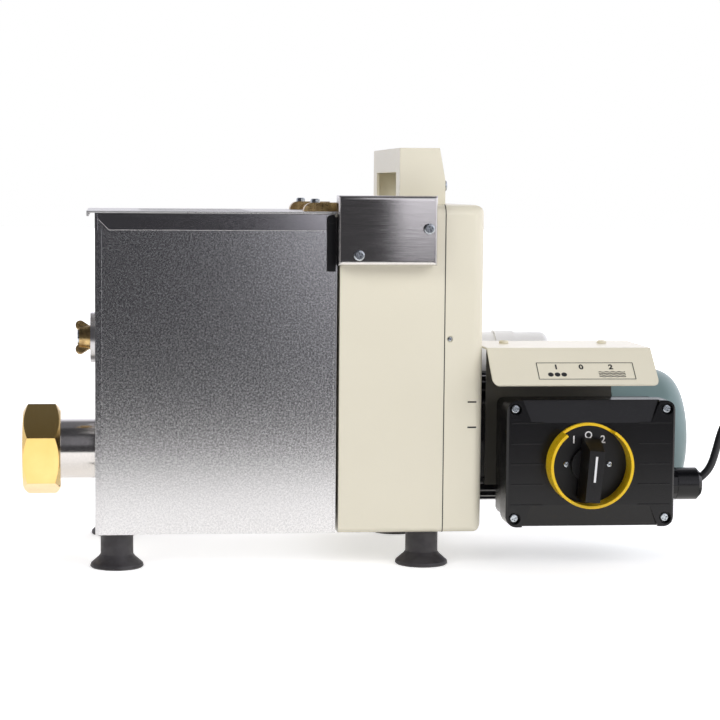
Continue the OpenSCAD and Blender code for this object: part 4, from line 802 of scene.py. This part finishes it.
def make_case_seam():
    """A dark bead in the joint, right round the case."""
    (y0, y1), (z0, z1) = CASE_Y, CASE_Z
    corners = (
        (y1 - CASE_ROUND_TOP, z1 - CASE_ROUND_TOP, CASE_ROUND_TOP),
        (y0 + CASE_ROUND_TOP, z1 - CASE_ROUND_TOP, CASE_ROUND_TOP),
        (y0 + CASE_ROUND_LOW, z0 + CASE_ROUND_LOW, CASE_ROUND_LOW),
        (y1 - CASE_ROUND_LOW, z0 + CASE_ROUND_LOW, CASE_ROUND_LOW),
    )
    bm = bmesh.new()
    rows = []
    for turn, (y, z, radius) in enumerate(corners):
        for step in range(CASE_ROUND_STEPS + 1):
            a = math.pi / 2 * (turn + step / CASE_ROUND_STEPS)
            out = Vector((0, math.cos(a), math.sin(a))) * (radius + PRINT_T)
            rows.append([bm.verts.new(Vector((SEAM_X + s * SEAM_W / 2, y, z)) + out) for s in (-1, 1)])
    for (a, b), (c, d) in zip(rows, rows[1:] + rows[:1]):
        bm.faces.new((a, b, d, c))
    piece("case_seam", bm, "black_print_and_shade", "machine")


# the screw sunk in the rear cover's near flank by the joint
CASE_SCREW_AT = (0.0575, -0.0711, 0.172)
CASE_SCREW_R = 0.0017
CASE_SCREW_H = 0.0007


def make_case_screw():
    """The screw's head, which hardly shows."""
    bm = bmesh.new()
    add_pan_head(bm, facing(CASE_SCREW_AT, (1, 0, 0), (0, 0, 1)), CASE_SCREW_R, CASE_SCREW_H)
    piece("case_screw", bm, "zinc", "machine")


# the slots in the rear cover's flanks
SLOT_X = (0.0716, 0.0782)
SLOT_Z = (0.106, 0.125)
SLOT_H = 0.0011
SLOT_DEPTH = 0.0007


def make_slot_shades():
    """Black strips at the bottoms of the rear cover's slots: painted shade."""
    bm = bmesh.new()
    (x0, x1), half = SLOT_X, SLOT_H / 2
    for z in SLOT_Z:
        for y in (CASE_Y[0] + SLOT_DEPTH, CASE_Y[1] - SLOT_DEPTH):
            loop = [(x0, z - half), (x1, z - half), (x1, z + half), (x0, z + half)]
            bm.faces.new([bm.verts.new((x, y, h)) for x, h in loop])
    piece("slot_shades", bm, "black_print_and_shade", "machine")


make_dial_print()
make_dial_screws()
make_knob_line()
make_label()
make_case_seam()
make_case_screw()
make_slot_shades()

# ---------------------------------------------------------------- stage

FLOOR_REACH = 12
FLOOR_WHITE = 0.90
# what the floor shines to the camera near the machine and far off, and how far that is
FLOOR_LIFT = (0.5, 1.0)
FLOOR_FAR = (0.5, 1.6)
# what the floor shines to what is glossy in front of the machine and behind it, and where
FLOOR_GLOSS_LIFT = (0.8, 0.45)
BEHIND = (-0.1, 0.3)
# what is glossy sees the floor end in front of the machine, in a dark room
TABLE_EDGE = (-0.74, -0.44)
# the tints of that floor and of the room
WARM = (1.0, 0.965, 0.90)
COOL = (0.97, 0.96, 1.03)
# what the room shines where it is dark, and what a light of level 1 adds
ROOM_DARK = 0.07
ROOM_LEVEL = 0.9
# the room's lights by direction: a window high up on the right, a brighter panel below it, and
# the white back with its dimmer ceiling
WINDOW_X = (-0.02, 0.06)
WINDOW_Z = ((0.25, 0.40), (0.75, 0.90))
PANEL_X = (0.10, 0.20)
PANEL_TOP = (0.35, 0.60)
PANEL_LEVEL = 1.5
BACK_Y = (-0.05, 0.20)
BACK_TOP = (0.45, 0.75)
CEILING_LEVEL = 0.15
# the lamps: place, width and height, and watts
LAMP_AIM = (0, 0, 0.1)
LAMPS = {
    "key": ((-1.3, -1.3, 1.0), (1.4, 0.8), 14.5),
    "fill": ((0.9, -1.4, 1.0), (1.4, 0.8), 8),
    "back": ((0.1, 1.3, 1.5), (2.0, 1.2), 11),
}


def stage_nodes(holder, coordinate):
    """The emptied node tree of a material or a world."""
    holder.use_nodes = True
    holder.node_tree.nodes.clear()
    return Nodes(holder.node_tree, coordinate)


def shine(nodes, kind, level, tint=(1, 1, 1)):
    """An emission or background shader of a fixed level or one from a socket."""
    shader = nodes.node(kind)
    if isinstance(level, float):
        shader.inputs["Strength"].default_value = level
    else:
        nodes.link(level, shader.inputs["Strength"])
    shader.inputs["Color"].default_value = (*tint, 1)
    return shader.outputs[0]


def make_floor():
    """White, with the machine's shadow. What is glossy sees only the stretch near the machine."""
    mesh = bpy.data.meshes.new("floor")
    r = FLOOR_REACH
    corners = [(-r, -r, 0), (r, -r, 0), (r, r, 0), (-r, r, 0)]
    mesh.from_pydata(corners, [], [(0, 1, 2, 3)])
    floor = bpy.data.objects.new("floor", mesh)
    scene.collection.objects.link(floor)
    material = bpy.data.materials.new("floor")
    n = stage_nodes(material, "Object")
    paths = n.node("ShaderNodeLightPath").outputs
    white = n.node("ShaderNodeBsdfDiffuse")
    white.inputs["Color"].default_value = (FLOOR_WHITE, FLOOR_WHITE, FLOOR_WHITE, 1)
    away = n.node("ShaderNodeVectorMath", operation="LENGTH")
    n.link(n.place, away.inputs[0])
    lift = n.between(away.outputs["Value"], *FLOOR_FAR, *FLOOR_LIFT)
    to_camera = n.math("MULTIPLY", paths["Is Camera Ray"], lift)
    gloss = n.between(n.axis("Y"), *BEHIND, *FLOOR_GLOSS_LIFT)
    to_glossy = n.math("MULTIPLY", paths["Is Glossy Ray"], gloss)
    seen = n.add_shaders(white.outputs[0], shine(n, "ShaderNodeEmission", to_camera))
    lit = n.add_shaders(seen, shine(n, "ShaderNodeEmission", to_glossy, WARM))
    dark = shine(n, "ShaderNodeEmission", ROOM_DARK, COOL)
    far = n.math("MULTIPLY", n.between(n.axis("Y"), *TABLE_EDGE, 1.0, 0.0), paths["Is Glossy Ray"])
    out = n.node("ShaderNodeOutputMaterial")
    n.link(n.mix_shaders(far, lit, dark), out.inputs["Surface"])
    mesh.materials.append(material)


def make_world():
    """A dark room with a window, a panel and a white back. The camera sees plain white."""
    world = bpy.data.worlds.new("world")
    scene.world = world
    n = stage_nodes(world, "Generated")
    to_camera = n.node("ShaderNodeLightPath").outputs["Is Camera Ray"]
    x, y, z = n.axis("X"), n.axis("Y"), n.axis("Z")
    window = n.math("MULTIPLY", n.band(z, *WINDOW_Z), n.between(x, *WINDOW_X))
    panel = n.between(x, *PANEL_X, 0.0, PANEL_LEVEL)
    panel = n.math("MULTIPLY", panel, n.between(z, *PANEL_TOP, 1.0, 0.0))
    back = n.math("MULTIPLY", n.between(y, *BACK_Y), n.between(z, *BACK_TOP, 1.0, CEILING_LEVEL))
    level = n.math("MAXIMUM", n.math("MAXIMUM", window, panel), back)
    level = n.math("ADD", n.math("MULTIPLY", level, ROOM_LEVEL), ROOM_DARK)
    studio = shine(n, "ShaderNodeBackground", level, COOL)
    white = shine(n, "ShaderNodeBackground", 1.0)
    out = n.node("ShaderNodeOutputWorld")
    n.link(n.mix_shaders(to_camera, studio, white), out.inputs["Surface"])


def make_lamp(name, at, size, watts):
    """A soft box that nothing mirrors."""
    data = bpy.data.lights.new(name, "AREA")
    data.shape = "RECTANGLE"
    data.size, data.size_y = size
    data.energy = watts
    lamp = bpy.data.objects.new(name, data)
    lamp.location = at
    lamp.rotation_euler = (Vector(LAMP_AIM) - Vector(at)).to_track_quat("-Z", "Y").to_euler()
    lamp.visible_glossy = False
    scene.collection.objects.link(lamp)


make_floor()
make_world()
for lamp_name, lamp_settings in LAMPS.items():
    make_lamp(lamp_name, *lamp_settings)
